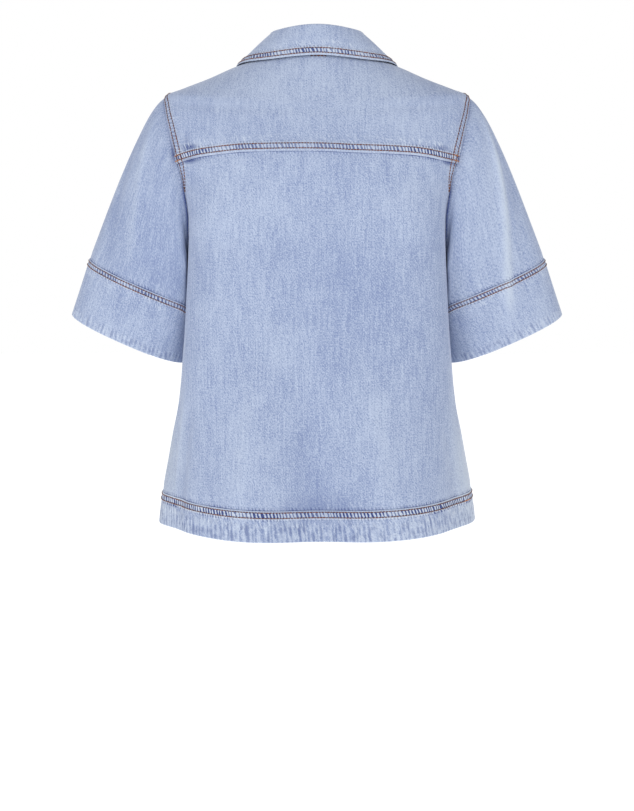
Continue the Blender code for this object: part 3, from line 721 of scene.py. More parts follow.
SLEEVE_CREASES = {
    "left": (
        (26, 0.01, 76, 0.26, 0.008, 0.0020, -0.008),
        (8, 0.06, 56, 0.28, 0.011, -0.0016, -0.006),
        (20, 0.04, 30, 0.18, 0.013, -0.0010, 0.003),
        (128, 0.05, 108, 0.22, 0.011, -0.0013, -0.004),
        (150, 0.03, 128, 0.16, 0.008, 0.0010, 0.003),
        (-70, 0.06, -62, 0.28, 0.013, -0.0018, 0.003),
        (-35, 0.08, -42, 0.30, 0.014, 0.0016, 0.002),
        (-120, 0.04, -98, 0.20, 0.010, -0.0014, 0.005),
        (-150, 0.03, -130, 0.15, 0.009, 0.0012, 0.003),
    ),
    "right": (
        (18, 0.01, 90, 0.31, 0.0060, 0.0042, -0.004),
        (6, 0.06, 73, 0.31, 0.0080, -0.0010, -0.004),
        (30, 0.05, 34, 0.20, 0.012, -0.0010, 0.003),
        (118, 0.05, 104, 0.22, 0.012, -0.0012, -0.004),
        (148, 0.03, 130, 0.17, 0.008, 0.0010, 0.003),
        (-66, 0.05, -74, 0.29, 0.012, -0.0017, 0.003),
        (-30, 0.07, -38, 0.30, 0.015, 0.0017, 0.002),
        (-116, 0.04, -100, 0.21, 0.010, -0.0015, 0.005),
        (-152, 0.03, -128, 0.14, 0.009, 0.0012, 0.003),
    ),
}
BODY_RADIUS = 0.17  # turns an angle round the body into a distance, near enough
SLEEVE_RADIUS = 0.066
SLEEVE_LENGTH = 0.23


def creased(across, down, table, radius):
    """The height of all the creases at a place, in metres; across is an angle in radians."""
    height = np.zeros(np.broadcast(across, down).shape)
    for angle, start, to_angle, stop, width, tall, bow in table:
        off = (across - math.radians(angle) + np.pi) % (2 * np.pi) - np.pi
        x, y = off * radius, down - start
        ex, ey = math.radians(to_angle - angle) * radius, stop - start
        length = math.hypot(ex, ey)
        t = (x * ex + y * ey) / length**2
        side = (x * ey - y * ex) / length + bow * 4 * t * (1 - t)
        fade = ease(t / 0.3) * ease((1 - t) / 0.3)
        height = height + tall * np.exp(-((side / width) ** 2)) * fade
    return height


print(f"{len(BODY_CREASES)} creases on the body, {len(SLEEVE_CREASES['left'])} on each sleeve")

# %% [markdown]
# ## Cutting and shaping the panels
# Each panel is a grid with its rows closer together near its seams, where the ripples are fine. The
# back and the yoke run from armhole to armhole; a front runs from its side to its own edge past the
# centre line.

# %% Rows and columns
COUNTS = {"yoke": 284, "back": 220, "front": 66, "hem_back": 286, "hem_front": 150,
          "sleeve": 222, "band": 316, "stand": 250, "leaf": 360}


def graded(start, stop, fine, coarse, near):
    """Places from start to stop, fine close to the ends and coarse between them."""
    length = abs(stop - start)
    near = min(near, 0.4 * length)
    ends = np.linspace(0, near, max(2, round(near / fine) + 1))
    last = length - near
    middle = np.linspace(near, last, max(2, round((last - near) / coarse) + 1))
    return start + np.sign(stop - start) * np.concatenate([ends, middle[1:], length - ends[::-1][1:]])


def turn_levels(start_turn, stop_turn, spacing):
    """Levels down the armhole, evenly spaced along it."""
    turns = np.linspace(start_turn, stop_turn, 400)
    line = body(armhole_angle(turns), armhole_level(turns))
    at = running_length(line, 0)
    return armhole_level(np.interp(np.linspace(0, at[-1], round(at[-1] / spacing) + 1), at, turns))


def joined(*parts):
    return np.concatenate([parts[0]] + [part[1:] for part in parts[1:]])


neck_levels = graded(NECK, SHOULDER, 0.0012, 0.0022, near=0.010)
yoke_levels = joined(neck_levels, turn_levels(1e-3, YOKE_TURN, 0.0020))
back_levels = joined(turn_levels(YOKE_TURN, np.pi - 1e-3, 0.0026),
                     graded(ARMPIT, HEM_SEAM, 0.0020, 0.0034, near=0.012))
front_levels = joined(yoke_levels, back_levels)
hem_levels = graded(HEM_SEAM, HEM, 0.0012, 0.0016, near=0.010)
print(f"rows: yoke {len(yoke_levels)}, back {len(back_levels)}, hem {len(hem_levels)}")


# %% Body panels
def body_cloth(name, levels, angles, thickness=CLOTH, step_in=None):
    levels = levels + 0 * angles
    points, normals = body(angles, levels), body_normal(angles, levels)
    if step_in:
        points = points - normals * lap_step(points[..., 0], step_in)[..., None]
    cloth = Cloth(name, points, normals, thickness)
    cloth.crease(creased(angles, levels, BODY_CREASES, BODY_RADIUS))
    return cloth


SAG_REACH = 0.050
YOKE_SAGS = (  # at x, how much lower the yoke's seam hangs than its level, pulled by the armholes
    (-0.180, 0.0082), (-0.167, 0.0076), (-0.156, 0.0066), (-0.137, 0.0044), (-0.118, 0.0032),
    (-0.080, 0.0027), (-0.043, 0.0023), (-0.012, 0.0010), (0.030, 0.0005), (0.089, 0.0006),
    (0.108, 0.0013), (0.127, 0.0025), (0.146, 0.0038), (0.165, 0.0062), (0.180, 0.0084),
)


def back_grid(levels, count):
    """The levels and the angles of the back's points, which sag with the yoke's seam."""
    share = np.linspace(-1, 1, count)
    levels = levels[:, None] + 0 * share
    x = body(back_edge(levels) * share, levels)[..., 0]
    near_seam = ease(1 - np.abs(levels - YOKE_SEAM) / SAG_REACH)
    levels = levels - near_seam * smooth(x, *zip(*YOKE_SAGS))
    return levels, back_edge(levels) * share


FINE_FROM_X = 0.040


def front_angles(levels, count):
    """From the side to the front's own edge; finer over the lap."""
    side, lap = front_edge(levels), front_angle(levels, FINE_FROM_X)
    share = np.linspace(0, 1, count)
    fine = graded(0, 1, 0.024, 0.033, near=0.2)[1:]
    main = side[:, None] * (1 - share) + lap[:, None] * share
    x = FINE_FROM_X - (FINE_FROM_X + LAP) * fine
    return np.concatenate([main, front_angle(levels[:, None], x[None, :])], axis=1)


AT_ARM = {"strength": 0.35, "proud": 0.3}
ARMHOLE_WIDTHS = ((-0.172, 0.30), (-0.150, 1.10), (YOKE_SEAM, 1.60), (-0.080, 1.40), (SHOULDER, 1.15))


def armhole_seam(levels):
    """The seam round the armhole lies open across the shoulder blade and closes up below it."""
    wide = smooth(levels, *zip(*ARMHOLE_WIDTHS))
    return {"wide": wide, "inset": 0.0025 * np.maximum(wide - 0.8, 0)}


def stronger_at_ends(edge):
    """Where two seams cross, there are more layers, and the cloth between the stitches stays darker."""
    at = running_length(edge, 0)
    to_end = np.minimum(at, at[-1] - at)
    return 0.88 + 1.0 * np.exp(-((to_end / 0.022) ** 2)) + 0.32 * wander(at, 5, 0.05)


yoke = body_cloth("cloth_back_yoke", *back_grid(yoke_levels, COUNTS["yoke"]))
shoulder_row = len(neck_levels) - 1
for side, seed in (("first", 31), ("last", 37)):
    yoke.under(side, seed, 0, shoulder_row + 1, strength=0.5)
    yoke.lapped(side, seed + 2, shoulder_row, None, **AT_ARM, **armhole_seam(yoke_levels[shoulder_row:]))
yoke.lapped("bottom", 11, strength=stronger_at_ends(yoke.edge("bottom")), wide=1.05, inset=0.0005)

back = body_cloth("cloth_back_panel", *back_grid(back_levels, COUNTS["back"]))
armpit_row = int(np.argmin(np.abs(back_levels - ARMPIT)))
for side, seed in (("first", 41), ("last", 47)):
    back.lapped(side, seed, 0, armpit_row + 1, **AT_ARM, **armhole_seam(back_levels[:armpit_row + 1]))
    back.plain_seam(side, armpit_row)
back.under("top", 11, strength=stronger_at_ends(back.edge("top")))
back.under("bottom", 13)

front_armpit = int(np.argmin(np.abs(front_levels - ARMPIT)))
fronts = {}
for side, sign, seed in (("left", 1, 51), ("right", -1, 57)):
    angles = sign * front_angles(front_levels, COUNTS["front"])
    step = LAP_STEP if side == "left" else None
    cloth = body_cloth(f"cloth_front_{side}", front_levels[:, None], angles, step_in=step)
    cloth.lapped("first", seed, shoulder_row, front_armpit + 1, **AT_ARM)
    cloth.plain_seam("first", front_armpit)
    cloth.lapped("first", seed + 1, 0, shoulder_row + 1, strength=0.5)
    cloth.under("bottom", 15)
    fronts[side] = cloth
print("points:", {c.name: c.base.shape[:2] for c in (yoke, back, *fronts.values())})

# %% [markdown]
# The fronts button in the middle. Each front's edge is folded back as a facing and sewn down by a row
# close to the fold and one a placket's width away from it. The over front's fold is straight and
# firm, so it ripples less than the hem does.

# %% The front edges
PLACKET = 0.030
FACING_HEIGHT = 0.0005
for side, cloth in fronts.items():
    edge = cloth.edge("last")
    distance, place = from_edge(cloth.base, edge)
    plateau = 1 - ease((distance - PLACKET) / 0.003)
    cloth.lift += FACING_HEIGHT * plateau
    phase = (place + 0.0016 * wander(place, 61, 0.008)) / RIPPLE_PITCH
    cloth.keep("seam_rows", phase, distance, 0.45, distance < 0.012)
    cloth.lift += RIPPLE_UNDER * ripples(phase, distance, 0.0)
    cloth.rows += [(edge, np.full(len(edge), row)) for row in (ROW_NEAR, PLACKET - ROW_NEAR)]
print(f"each front has a facing {1000 * PLACKET:.0f} mm wide")

# %% Hem bands
HEM_STEP = LAP_STEP + 0.0008  # a double band needs more room beneath the other
hem = {"back": body_cloth("cloth_hem_back", *back_grid(hem_levels, COUNTS["hem_back"]), DOUBLE)}
for side, sign in (("left", 1), ("right", -1)):
    angles = sign * front_angles(hem_levels, COUNTS["hem_front"])
    step = HEM_STEP if side == "left" else None
    hem[side] = body_cloth(f"cloth_hem_front_{side}", hem_levels[:, None], angles, DOUBLE, step)
for number, (side, cloth) in enumerate(hem.items()):
    strength = 1.5 * stronger_at_ends(cloth.edge("top"))
    cloth.lapped("top", 13 + 2 * (number > 0), strength=strength, wide=1.05, inset=-0.0009, proud=0.45)
    cloth.folded_hem("bottom", 71 + number, reach=0.026, height=0.00055)
print("hem bands:", {c.name: c.base.shape[:2] for c in hem.values()})

# %% [markdown]
# ## Sleeves and their bands
# The grid of a sleeve starts and ends at the underarm seam, so that the grain of the cloth and the
# count of the ripples break there, as they do on the real seam. The right sleeve is the left one turned
# over in X, with creases of its own.

# %% Sleeves
UNDERARM = np.pi
UNDERARM_GAP = 0.0012
SLEEVE_TURNS, BAND_TURNS = (UNDERARM + np.linspace(UNDERARM_GAP, 2 * np.pi - UNDERARM_GAP, COUNTS[key])
                            for key in ("sleeve", "band"))


def numeric_normals(surface_of, turns, shares, step=1e-4):
    shares = np.clip(shares, 2 * step, 1 - 2 * step)
    du = surface_of(turns + step, shares) - surface_of(turns - step, shares)
    dv = surface_of(turns, shares + step) - surface_of(turns, shares - step)
    normal = unit(np.cross(du, dv))
    points = surface_of(turns, shares)
    outward = np.sum(normal * (points - points.mean(axis=1, keepdims=True)), axis=-1)
    return normal * np.sign(outward.mean())


def tube_cloth(name, surface_of, turns, shares, side, start, length, thickness=CLOTH):
    turns, shares = np.meshgrid(turns, shares)
    flip = np.array([1 if side == "left" else -1, 1, 1])
    points, normals = surface_of(turns, shares), numeric_normals(surface_of, turns, shares)
    cloth = Cloth(name, points * flip, normals * flip, thickness)
    cloth.crease(creased(turns, start + shares * length, SLEEVE_CREASES[side], SLEEVE_RADIUS))
    for edge in ("first", "last"):
        cloth.plain_seam(edge, depth=0.0004)
    return cloth


sleeves, bands = {}, {}
for side, seed in (("left", 81), ("right", 91)):
    shares = graded(0, 1, 0.008, 0.0155, near=0.06)
    cloth = tube_cloth(f"cloth_sleeve_{side}", sleeve, SLEEVE_TURNS, shares, side, 0.0, SLEEVE_LENGTH)
    cloth.under("top", seed, strength=0.5)
    # Where the armhole's seam has closed up, the shadow in the gap along it is painted deep indigo.
    distance, _ = from_edge(cloth.base, cloth.edge("top"))
    gap_shadow = ease((-0.150 - cloth.base[..., 2]) / 0.025)
    cloth.wash[..., 2] += 1.1 * gap_shadow * np.exp(-((distance / 0.0028) ** 2))
    cloth.under("bottom", seed + 1)
    sleeves[side] = cloth
    shares = graded(0, 1, 0.016, 0.040, near=0.26)
    cloth = tube_cloth(f"cloth_sleeve_band_{side}", band, BAND_TURNS, shares, side,
                       SLEEVE_LENGTH, SLEEVE_BAND_DEPTH, DOUBLE)
    cloth.lapped("top", seed + 1, strength=0.72, wide=0.86, inset=-0.0005, proud=0.5)
    cloth.folded_hem("bottom", seed + 3, reach=0.015, height=0.0004, strength=0.8)
    bands[side] = cloth
print("sleeves:", sleeves["left"].base.shape[:2], "bands:", bands["left"].base.shape[:2])


# %% Collar pieces
def grid_normals(points):
    return unit(np.cross(np.gradient(points, axis=1), np.gradient(points, axis=0)))


STAND_LEVELS = 13
STAND_ROW = 0.0016  # from each of the stand's edges to its row of stitches
stand_end = float(front_angle(NECK, -LAP))
stand_angles = np.linspace(-stand_end, stand_end, COUNTS["stand"])
foot, fold, _ = collar_root(stand_angles)
stand_middle = np.array([foot + (fold - foot) * STAND_SHARE * share
                         for share in np.linspace(0, 1, STAND_LEVELS)])
normals = grid_normals(stand_middle)
stand = Cloth("cloth_collar_stand", stand_middle + normals * CLOTH / 2, normals, CLOTH)
stand.rows += [(stand.edge(side), np.full(len(stand_angles), STAND_ROW)) for side in ("top", "bottom")]

leaf_end = float(front_angle(NECK, LEAF_END))
leaf_middle = leaf_surface(np.linspace(-leaf_end, leaf_end, COUNTS["leaf"]))
normals = grid_normals(leaf_middle)
leaf = Cloth("cloth_collar_leaf", leaf_middle + normals * DOUBLE / 2, normals, DOUBLE)
FALL_STARTS = 10  # the row where the leaf has come over the fold
for side, seed in (("first", 101), ("last", 107)):
    leaf.lapped(side, seed, FALL_STARTS, None, strength=0.6)
leaf.lapped("bottom", 103, strength=0.85, wide=0.95, inset=0.0004)
print("leaf:", leaf.base.shape[:2], "stand:", stand.base.shape[:2])

# %% [markdown]
# ## From a grid to a piece of cloth
# A shell closes each grid: the outside, the inside one thickness further in, and a rounded rim between
# them, as folded cloth has. The attributes go along: the grain in metres, the numbers of the seams and
# which side is the inside, where denim shows its white weft.

# %% Shells
RIM_TURNS = np.radians((50, 0, -50))


def rim_loop(rows, cols):
    """The places of the grid's outline, once round, and of their neighbours further in."""
    r, c = np.arange(rows), np.arange(cols)
    loop = np.concatenate([
        np.stack([0 * c[:-1], c[:-1]], 1),
        np.stack([r[:-1], 0 * r[:-1] + cols - 1], 1),
        np.stack([0 * c[1:] + rows - 1, c[:0:-1]], 1),
        np.stack([r[:0:-1], 0 * r[1:]], 1),
    ])
    inner = np.clip(loop, 1, np.array([rows - 2, cols - 2]))
    return loop, inner


def grid_quads(rows, cols):
    r, c = np.meshgrid(np.arange(rows - 1), np.arange(cols - 1), indexing="ij")
    a = (r * cols + c).ravel()
    return np.stack([a, a + cols, a + cols + 1, a + 1], 1)


def shell_mesh(cloth):
    """The points and faces of a shell, the grid's point that each comes from, and which are inside."""
    outer = cloth.finished()
    rows, cols = outer.shape[:2]
    inside = outer - cloth.normals * cloth.thickness
    loop, inner = rim_loop(rows, cols)
    at = loop[:, 0] * cols + loop[:, 1]
    edge, normal = outer[loop[:, 0], loop[:, 1]], cloth.normals[loop[:, 0], loop[:, 1]]
    way = edge - outer[inner[:, 0], inner[:, 1]]
    way = unit(way - normal * np.sum(way * normal, axis=-1, keepdims=True))
    half = cloth.thickness / 2
    rims = [edge - normal * half + half * (normal * math.sin(t) + way * math.cos(t)) for t in RIM_TURNS]
    points = np.concatenate([outer.reshape(-1, 3), inside.reshape(-1, 3), *rims])
    source = np.concatenate([np.arange(rows * cols)] * 2 + [at] * len(rims))
    quads = grid_quads(rows, cols)
    n, total = len(loop), rows * cols
    layers = [at] + [2 * total + k * n + np.arange(n) for k in range(len(rims))] + [at + total]
    strips = [np.stack([lo, np.roll(lo, -1), np.roll(hi, -1), hi], 1)
              for lo, hi in zip(layers[:-1], layers[1:])]
    faces = np.concatenate([quads, quads[:, ::-1] + total, *strips])
    p = points[faces]
    volume = np.sum(np.cross(p[:, 0], p[:, 1]) * p[:, 2] + np.cross(p[:, 0], p[:, 2]) * p[:, 3])
    if volume < 0:
        faces = faces[:, ::-1]
    is_inside = np.concatenate([np.zeros(total), np.ones(total)] + [np.zeros(n)] * (len(rims) - 1)
                               + [np.full(n, 0.5)])
    return points, faces, source, is_inside


def add_object(name, data):
    obj = bpy.data.objects.new(name, data)
    bpy.context.scene.collection.objects.link(obj)
    return obj


def mesh_object(name, points, faces):
    mesh = bpy.data.meshes.new(name)
    mesh.vertices.add(len(points))
    mesh.vertices.foreach_set("co", points.astype(np.float32).ravel())
    mesh.loops.add(faces.size)
    mesh.loops.foreach_set("vertex_index", faces.astype(np.int32).ravel())
    mesh.polygons.add(len(faces))
    mesh.polygons.foreach_set("loop_start", np.arange(0, faces.size, faces.shape[1], dtype=np.int32))
    mesh.update(calc_edges=True)
    mesh.validate()
    mesh.shade_smooth()
    return add_object(name, mesh)


def add_attribute(mesh, name, kind, values):
    layer = mesh.attributes.new(name, kind, "POINT")
    field = "vector" if kind == "FLOAT_VECTOR" else "value"
    layer.data.foreach_set(field, np.ascontiguousarray(values, dtype=np.float32).ravel())


def make_cloth(cloth, material, node):
    points, faces, source, is_inside = shell_mesh(cloth)
    obj = mesh_object(cloth.name, points, faces)
    obj.data.materials.append(material)
    grain = np.zeros((len(points), 3))
    grain[:, :2] = cloth.grain.reshape(-1, 2)[source]
    add_attribute(obj.data, "grain", "FLOAT_VECTOR", grain)
    for key, values in cloth.fields.items():
        add_attribute(obj.data, key, "FLOAT_VECTOR", values.reshape(-1, 3)[source])
    add_attribute(obj.data, "wash", "FLOAT_VECTOR", cloth.wash.reshape(-1, 3)[source])
    add_attribute(obj.data, "is_inside", "FLOAT", is_inside)
    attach(obj, "root")
    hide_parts(node)
    outer = cloth.finished()
    du = np.linalg.norm(np.diff(outer, axis=1), axis=-1)[:-1]
    dv = np.linalg.norm(np.diff(outer, axis=0), axis=-1)[:, :-1]
    print(f"{cloth.name}: {2 * len(faces)} triangles, about {np.sum(du * dv):.4f} square metres")


print("a rim has", len(RIM_TURNS), "rows of points")

# %% [markdown]
# ## Shader maths in plain Python
# A finish is a sum of small patterns. Writing it as a formula is easier to read than a net of nodes, so
# one small class wraps a socket and lets it be added and multiplied, and another adds any node by its
# type. Geometry Nodes are written the same way further down.

# %% Formulas for nodes
class Value:
    """An output of a node."""

    def __init__(self, nodes, socket):
        self.nodes, self.socket = nodes, socket

    def _with(self, operation, *others):
        return self.nodes.node("ShaderNodeMath", {"operation": operation}, self, *others)

    def __add__(self, other):
        return self._with("ADD", other)

    def __sub__(self, other):
        return self._with("SUBTRACT", other)

    def __rsub__(self, other):
        return (self * -1) + other

    def __mul__(self, other):
        return self._with("MULTIPLY", other)

    def __neg__(self):
        return self * -1

    __radd__ = __add__
    __rmul__ = __mul__

    def largest(self, other):
        return self._with("MAXIMUM", other)

    def clamped(self):
        return self.largest(0.0)._with("MINIMUM", 1.0)

    def sine(self):
        return self._with("SINE")

    def cosine(self):
        return self._with("COSINE")

    def also(self, out):
        """Another output of the same node."""
        return Value(self.nodes, self.socket.node.outputs[out])


class Nodes:
    """A tree being written, with nodes by type, settings and inputs."""

    def __init__(self, tree):
        self.tree = tree

    def join(self, value, socket):
        if isinstance(value, Value):
            self.tree.links.new(value.socket, socket)
        else:
            socket.default_value = value

    def node(self, kind, settings=None, *values, out=0, **named):
        made = self.tree.nodes.new(kind)
        for key, value in (settings or {}).items():
            setattr(made, key, value)
        for key, value in [*enumerate(values), *named.items()]:
            self.join(value, made.inputs[key if isinstance(key, int) else key.replace("_", " ")])
        return Value(self, made.outputs[out])

    def parts(self, vector):
        x = self.node("ShaderNodeSeparateXYZ", None, vector)
        return x, x.also("Y"), x.also("Z")

    def vector(self, *parts):
        return self.node("ShaderNodeCombineXYZ", None, *parts)


class Finish(Nodes):
    """A material being written, on a Principled BSDF."""

    def __init__(self, name, **constants):
        self.material = bpy.data.materials.new(name)
        self.material.use_nodes = True
        super().__init__(self.material.node_tree)
        self.shader = self.tree.nodes["Principled BSDF"]
        for socket, value in constants.items():
            self.feed(socket.replace("_", " "), value)

    def feed(self, socket, value):
        self.join(value, self.shader.inputs[socket])

    def mix(self, share, first, second):
        """Colours mixed by a share."""
        made = self.tree.nodes.new("ShaderNodeMix")
        made.data_type = "RGBA"
        colours = [socket for socket in made.inputs if socket.type == "RGBA"]
        for socket, value in zip([made.inputs[0], *colours], (share, first, second)):
            self.join(value, socket)
        return Value(self, next(socket for socket in made.outputs if socket.type == "RGBA"))

    def attribute(self, name, out="Vector"):
        return self.node("ShaderNodeAttribute", {"attribute_name": name}, out=out)

    def place(self):
        """The three coordinates of a point of the object."""
        return self.parts(self.node("ShaderNodeTexCoord", out="Object"))

    def noise(self, vector, detail=2.0, roughness=0.5):
        return self.node("ShaderNodeTexNoise", {"noise_dimensions": "3D"},
                         Vector=vector, Scale=1.0, Detail=detail, Roughness=roughness)

    def ramp(self, value, low, high):
        """0 below low, 1 above high, and smooth between."""
        return self.node("ShaderNodeMapRange", {"interpolation_type": "SMOOTHSTEP"},
                         Value=value, From_Min=low, From_Max=high)

    def between(self, value, low, high, soft):
        """1 from low to high and 0 beyond, with soft steps."""
        past = self.ramp(value, high - soft, high + soft)
        return self.ramp(value, low - soft, low + soft) * (1 - past)

    def bump(self, height, strength, distance):
        made = self.node("ShaderNodeBump", None, out="Normal",
                         Strength=strength, Distance=distance, Height=height)
        self.feed("Normal", made)


print("a finish is written as sums of patterns")

# %% [markdown]
# ## The denim
# Denim is woven with dyed warp threads over white weft, and shows fine diagonal lines, here running
# down to the right. Slubs make long soft streaks along the warp, and washing leaves clouds that are a
# few centimetres wide. By a seam the dips of the ripples keep deep indigo and their tops are nearly
# white. All of it is laid out on the cloth's own grain, so it turns with each panel.

# %% Denim finish
DEEP_DENIM = (0.202, 0.260, 0.444, 1)
LIGHT_DENIM = (0.460, 0.532, 0.680, 1)
# the deep dye of a seam's dips, and the colour of painted shadows
INDIGO_AND_SHADOW = (0.030, 0.055, 0.200, 1)
WORN = (0.600, 0.670, 0.780, 1)
ROPE_SHADE = (0.095, 0.130, 0.290, 1)
GREYED = (0.545, 0.605, 0.670, 1)
DEEP_WEFT = (0.430, 0.500, 0.640, 1)  # the inside
LIGHT_WEFT = (0.520, 0.580, 0.690, 1)
TWILL_PITCH = 0.0026
TAU = 2 * math.pi


def ripple_marks(f, key, streaks):
    """Marks of one set of seams: how much dark dye and painted shadow, how much wear, and the relief.

    Between the two rows the dips are dark and the tops pale; beyond them softer ripples go on, and
    beneath the fold a dark line is painted, its shadow with some dye in it.
    """
    phase, distance, strength = f.parts(f.attribute(key))
    mm = distance * 1000
    wave = (phase * TAU).sine()
    uneven = f.noise(f.vector(phase * 0.9, mm * 0.25, 3.0), detail=1.0)
    patch = f.ramp(f.noise(f.vector(phase * 0.16, mm * 0.04, 8.0), detail=1.0), 0.30, 0.58)
    dip = f.ramp(wave + (uneven - 0.5) * 3.0 + patch * 0.5 - 0.1, 0.0, 0.6)
    between = f.between(mm, ROW_NEAR * 1000 + 0.1, ROW_FAR * 1000 - 0.1, 0.3)
    near_rows = f.between(mm, -0.6, ROW_NEAR * 1000 - 0.3, 0.4) * 0.7 + f.between(mm, 8.7, 10.8, 0.5)
    second = f.ramp((phase * TAU * 1.04 + 1.0).sine() + (uneven - 0.5) * 3.0, 0.1, 0.8)
    # painted shadow under the fold's edge, with some indigo in it
    fold_shadow = f.between(mm, -1.7, -0.3, 0.35) * (0.15 + patch * 0.60)
    beyond = f.between(mm, 9.4, 12.0, 0.7) + f.between(mm, -4.5, -1.0, 1.0) * 0.8
    beyond = beyond * (0.25 + patch * 0.7)
    scratch = f.ramp(streaks, 0.57, 0.70)
    far = f.between(mm, 9.5, 20.0, 3.0) + f.between(mm, -13.0, -0.8, 2.0) * 0.45
    puckers = f.ramp(f.noise(f.vector(phase * 2.0, mm * 0.07, 14.0), detail=1.0), 0.57, 0.65)
    far_puckers = puckers * f.between(mm, 8.8, 19.0, 2.5) * (0.35 + patch * 0.75)
    dark = (dip * between * (0.50 + patch * 0.60) + second * beyond * 0.7 + fold_shadow) * strength
    pale = (1 - dip) * between * 0.75 + near_rows * 0.60 + scratch * far * 0.6 + far_puckers * 0.85
    relief = (1 - dip) * between * 0.7 + near_rows * 0.3 + scratch * far * 0.3 + far_puckers
    return dark.clamped(), (pale * strength).clamped(), relief * strength


def hem_marks(f, reach_mm):
    """The same marks for a folded hem, whose layers have twisted into slanting ropes."""
    phase, distance, strength = f.parts(f.attribute("hem_fold"))
    mm = distance * 1000
    wave = (phase * TAU).sine()
    uneven = f.noise(f.vector(phase * 1.1, mm * 0.09, 9.0), detail=3.0)
    patch = f.ramp(f.noise(f.vector(phase * 0.22, mm * 0.03, 4.0), detail=1.0), 0.30, 0.66)
    rope = wave * 0.55 + (uneven - 0.5) * 7.5
    blotch = f.noise(f.vector(phase * 0.8, mm * 0.12, 6.0), detail=1.0)
    top = f.noise(f.vector(phase * 1.3, 0.0, 2.0), detail=1.0)
    fade = (1 - f.ramp(mm + (top - 0.5) * reach_mm * 0.9, reach_mm * 0.50, reach_mm * 0.95)) * strength
    dark = f.ramp(rope, 0.0, 1.0) * fade * (1 - f.between(mm, -1.0, 0.5, 0.4)) * (0.45 + patch * 0.60)
    thin = f.ramp((phase * TAU + 2.6).sine() + (uneven - 0.5) * 3.2, 0.6, 1.15)
    blotchy = f.ramp(blotch, 0.35, 0.6)
    dark = dark * (0.62 + blotchy * 0.12)
    pale = (f.ramp(-rope, 0.0, 1.0) * 0.46 + thin * 0.34) * fade * (1.4 - blotchy * 0.5)
    pale = pale + f.between(mm, -1.0, 0.7, 0.5) * 0.25 * strength
    return dark.clamped(), pale.clamped(), f.ramp(-rope, -0.8, 1.2) * fade


def denim(name, rope_reach_mm=15.0, tone=0.0):
    """The whole finish; u runs across a panel and v up it, in metres."""
    f = Finish(name, Roughness=0.9, Sheen_Weight=0.18, Sheen_Roughness=0.45, Specular_IOR_Level=0.25)
    u, v, _ = f.parts(f.attribute("grain"))
    # paler and darker by washing and by painted light and shade; greyer; and painted shadow in indigo
    paler, greyer, indigo_shadow = f.parts(f.attribute("wash"))
    fine = f.noise(f.vector(u * 680, v * 540, 1.0), detail=2.0, roughness=0.7)
    warp_noise = f.noise(f.vector(u * 140, v * 60, 4.0), detail=1.0)
    across, along = u * 0.84 + v * 0.54, v * 0.84 - u * 0.54
    twill = (across * (TAU / TWILL_PITCH) + (warp_noise - 0.5) * 5.0).sine()
    diagonal = f.noise(f.vector(across * 480, along * 150, 7.0), detail=2.0, roughness=0.6)
    streaks = f.noise(f.vector(across * 360, along * 60, 11.0), detail=1.0)
    slub = f.noise(f.vector(u * 420, v * 26, 2.0), detail=2.0)
    cloud = f.noise(f.vector(u * 70, v * 36, 5.0), detail=3.0)
    broad = f.noise(f.vector(u * 14, v * 8, 6.0), detail=1.0)
    weave = twill * 0.06 + (fine - 0.5) * 2.8 + (diagonal - 0.5) * 1.0
    shade = 0.525 + tone + paler + weave + (slub - 0.5) * 0.9
    shade = (shade + (cloud - 0.5) * 0.6 + (broad - 0.5) * 0.5).clamped()
    colour = f.mix(shade, DEEP_DENIM, LIGHT_DENIM)
    colour = f.mix((greyer * (0.7 + weave * 0.6)).clamped(), colour, GREYED)
    # painted shadow, in indigo
    colour = f.mix((indigo_shadow * (0.9 + weave * 1.2)).clamped(), colour, INDIGO_AND_SHADOW)
    rows_dark, rows_pale, rows_relief = ripple_marks(f, "seam_rows", streaks)
    sides_dark, sides_pale, sides_relief = ripple_marks(f, "seam_sides", streaks)
    hem_dark, hem_pale, hem_relief = hem_marks(f, rope_reach_mm)
    grip = 0.85 + (fine - 0.5) * 0.9
    colour = f.mix((rows_pale.largest(sides_pale).largest(hem_pale) * grip).clamped(), colour, WORN)
    colour = f.mix((rows_dark.largest(sides_dark) * grip * 1.1).clamped(), colour, INDIGO_AND_SHADOW)
    colour = f.mix((hem_dark * grip * 0.9).clamped(), colour, ROPE_SHADE)
    inside = f.attribute("is_inside", out="Fac")
    f.feed("Base Color", f.mix(inside, colour, f.mix(shade, DEEP_WEFT, LIGHT_WEFT)))
    height = weave * 0.35 + rows_relief * 0.8 + sides_relief * 0.8 + hem_relief * 0.6
    f.bump(height, strength=0.55, distance=0.0005)
    return f.material


plain_denim = denim("denim_cloth")
cuff_denim = denim("denim_cuff", rope_reach_mm=16.0, tone=0.02)
hem_denim = denim("denim_hem", rope_reach_mm=30.0, tone=-0.03)
print("denim has", len(plain_denim.node_tree.nodes), "nodes")

# %% [markdown]
# ## Hang the cloth
# Each piece now takes the place of its plain solid. Its area is that of the panel alone.

# %% Make the pieces
make_cloth(yoke, plain_denim, "back_yoke")
make_cloth(back, plain_denim, "back_panel")
for side, cloth in fronts.items():
    make_cloth(cloth, plain_denim, f"front_{side}")
make_cloth(hem["back"], hem_denim, "hem_band_back")
for side in ("left", "right"):
    make_cloth(hem[side], hem_denim, f"hem_band_front_{side}")
    make_cloth(sleeves[side], plain_denim, f"sleeve_{side}")
    make_cloth(bands[side], cuff_denim, f"sleeve_band_{side}")
make_cloth(stand, plain_denim, "collar_stand")
make_cloth(leaf, plain_denim, "collar_leaf")

# %% [markdown]
# ## Stitches
# A row of top-stitching is one short thread after another, each dipping into the cloth at both ends.
# There are thousands of them, so Geometry Nodes walk along each row and set down a small spindle every
# few millimetres. The rows themselves are the seams' edges, moved in by a distance and laid on the
# finished cloth.

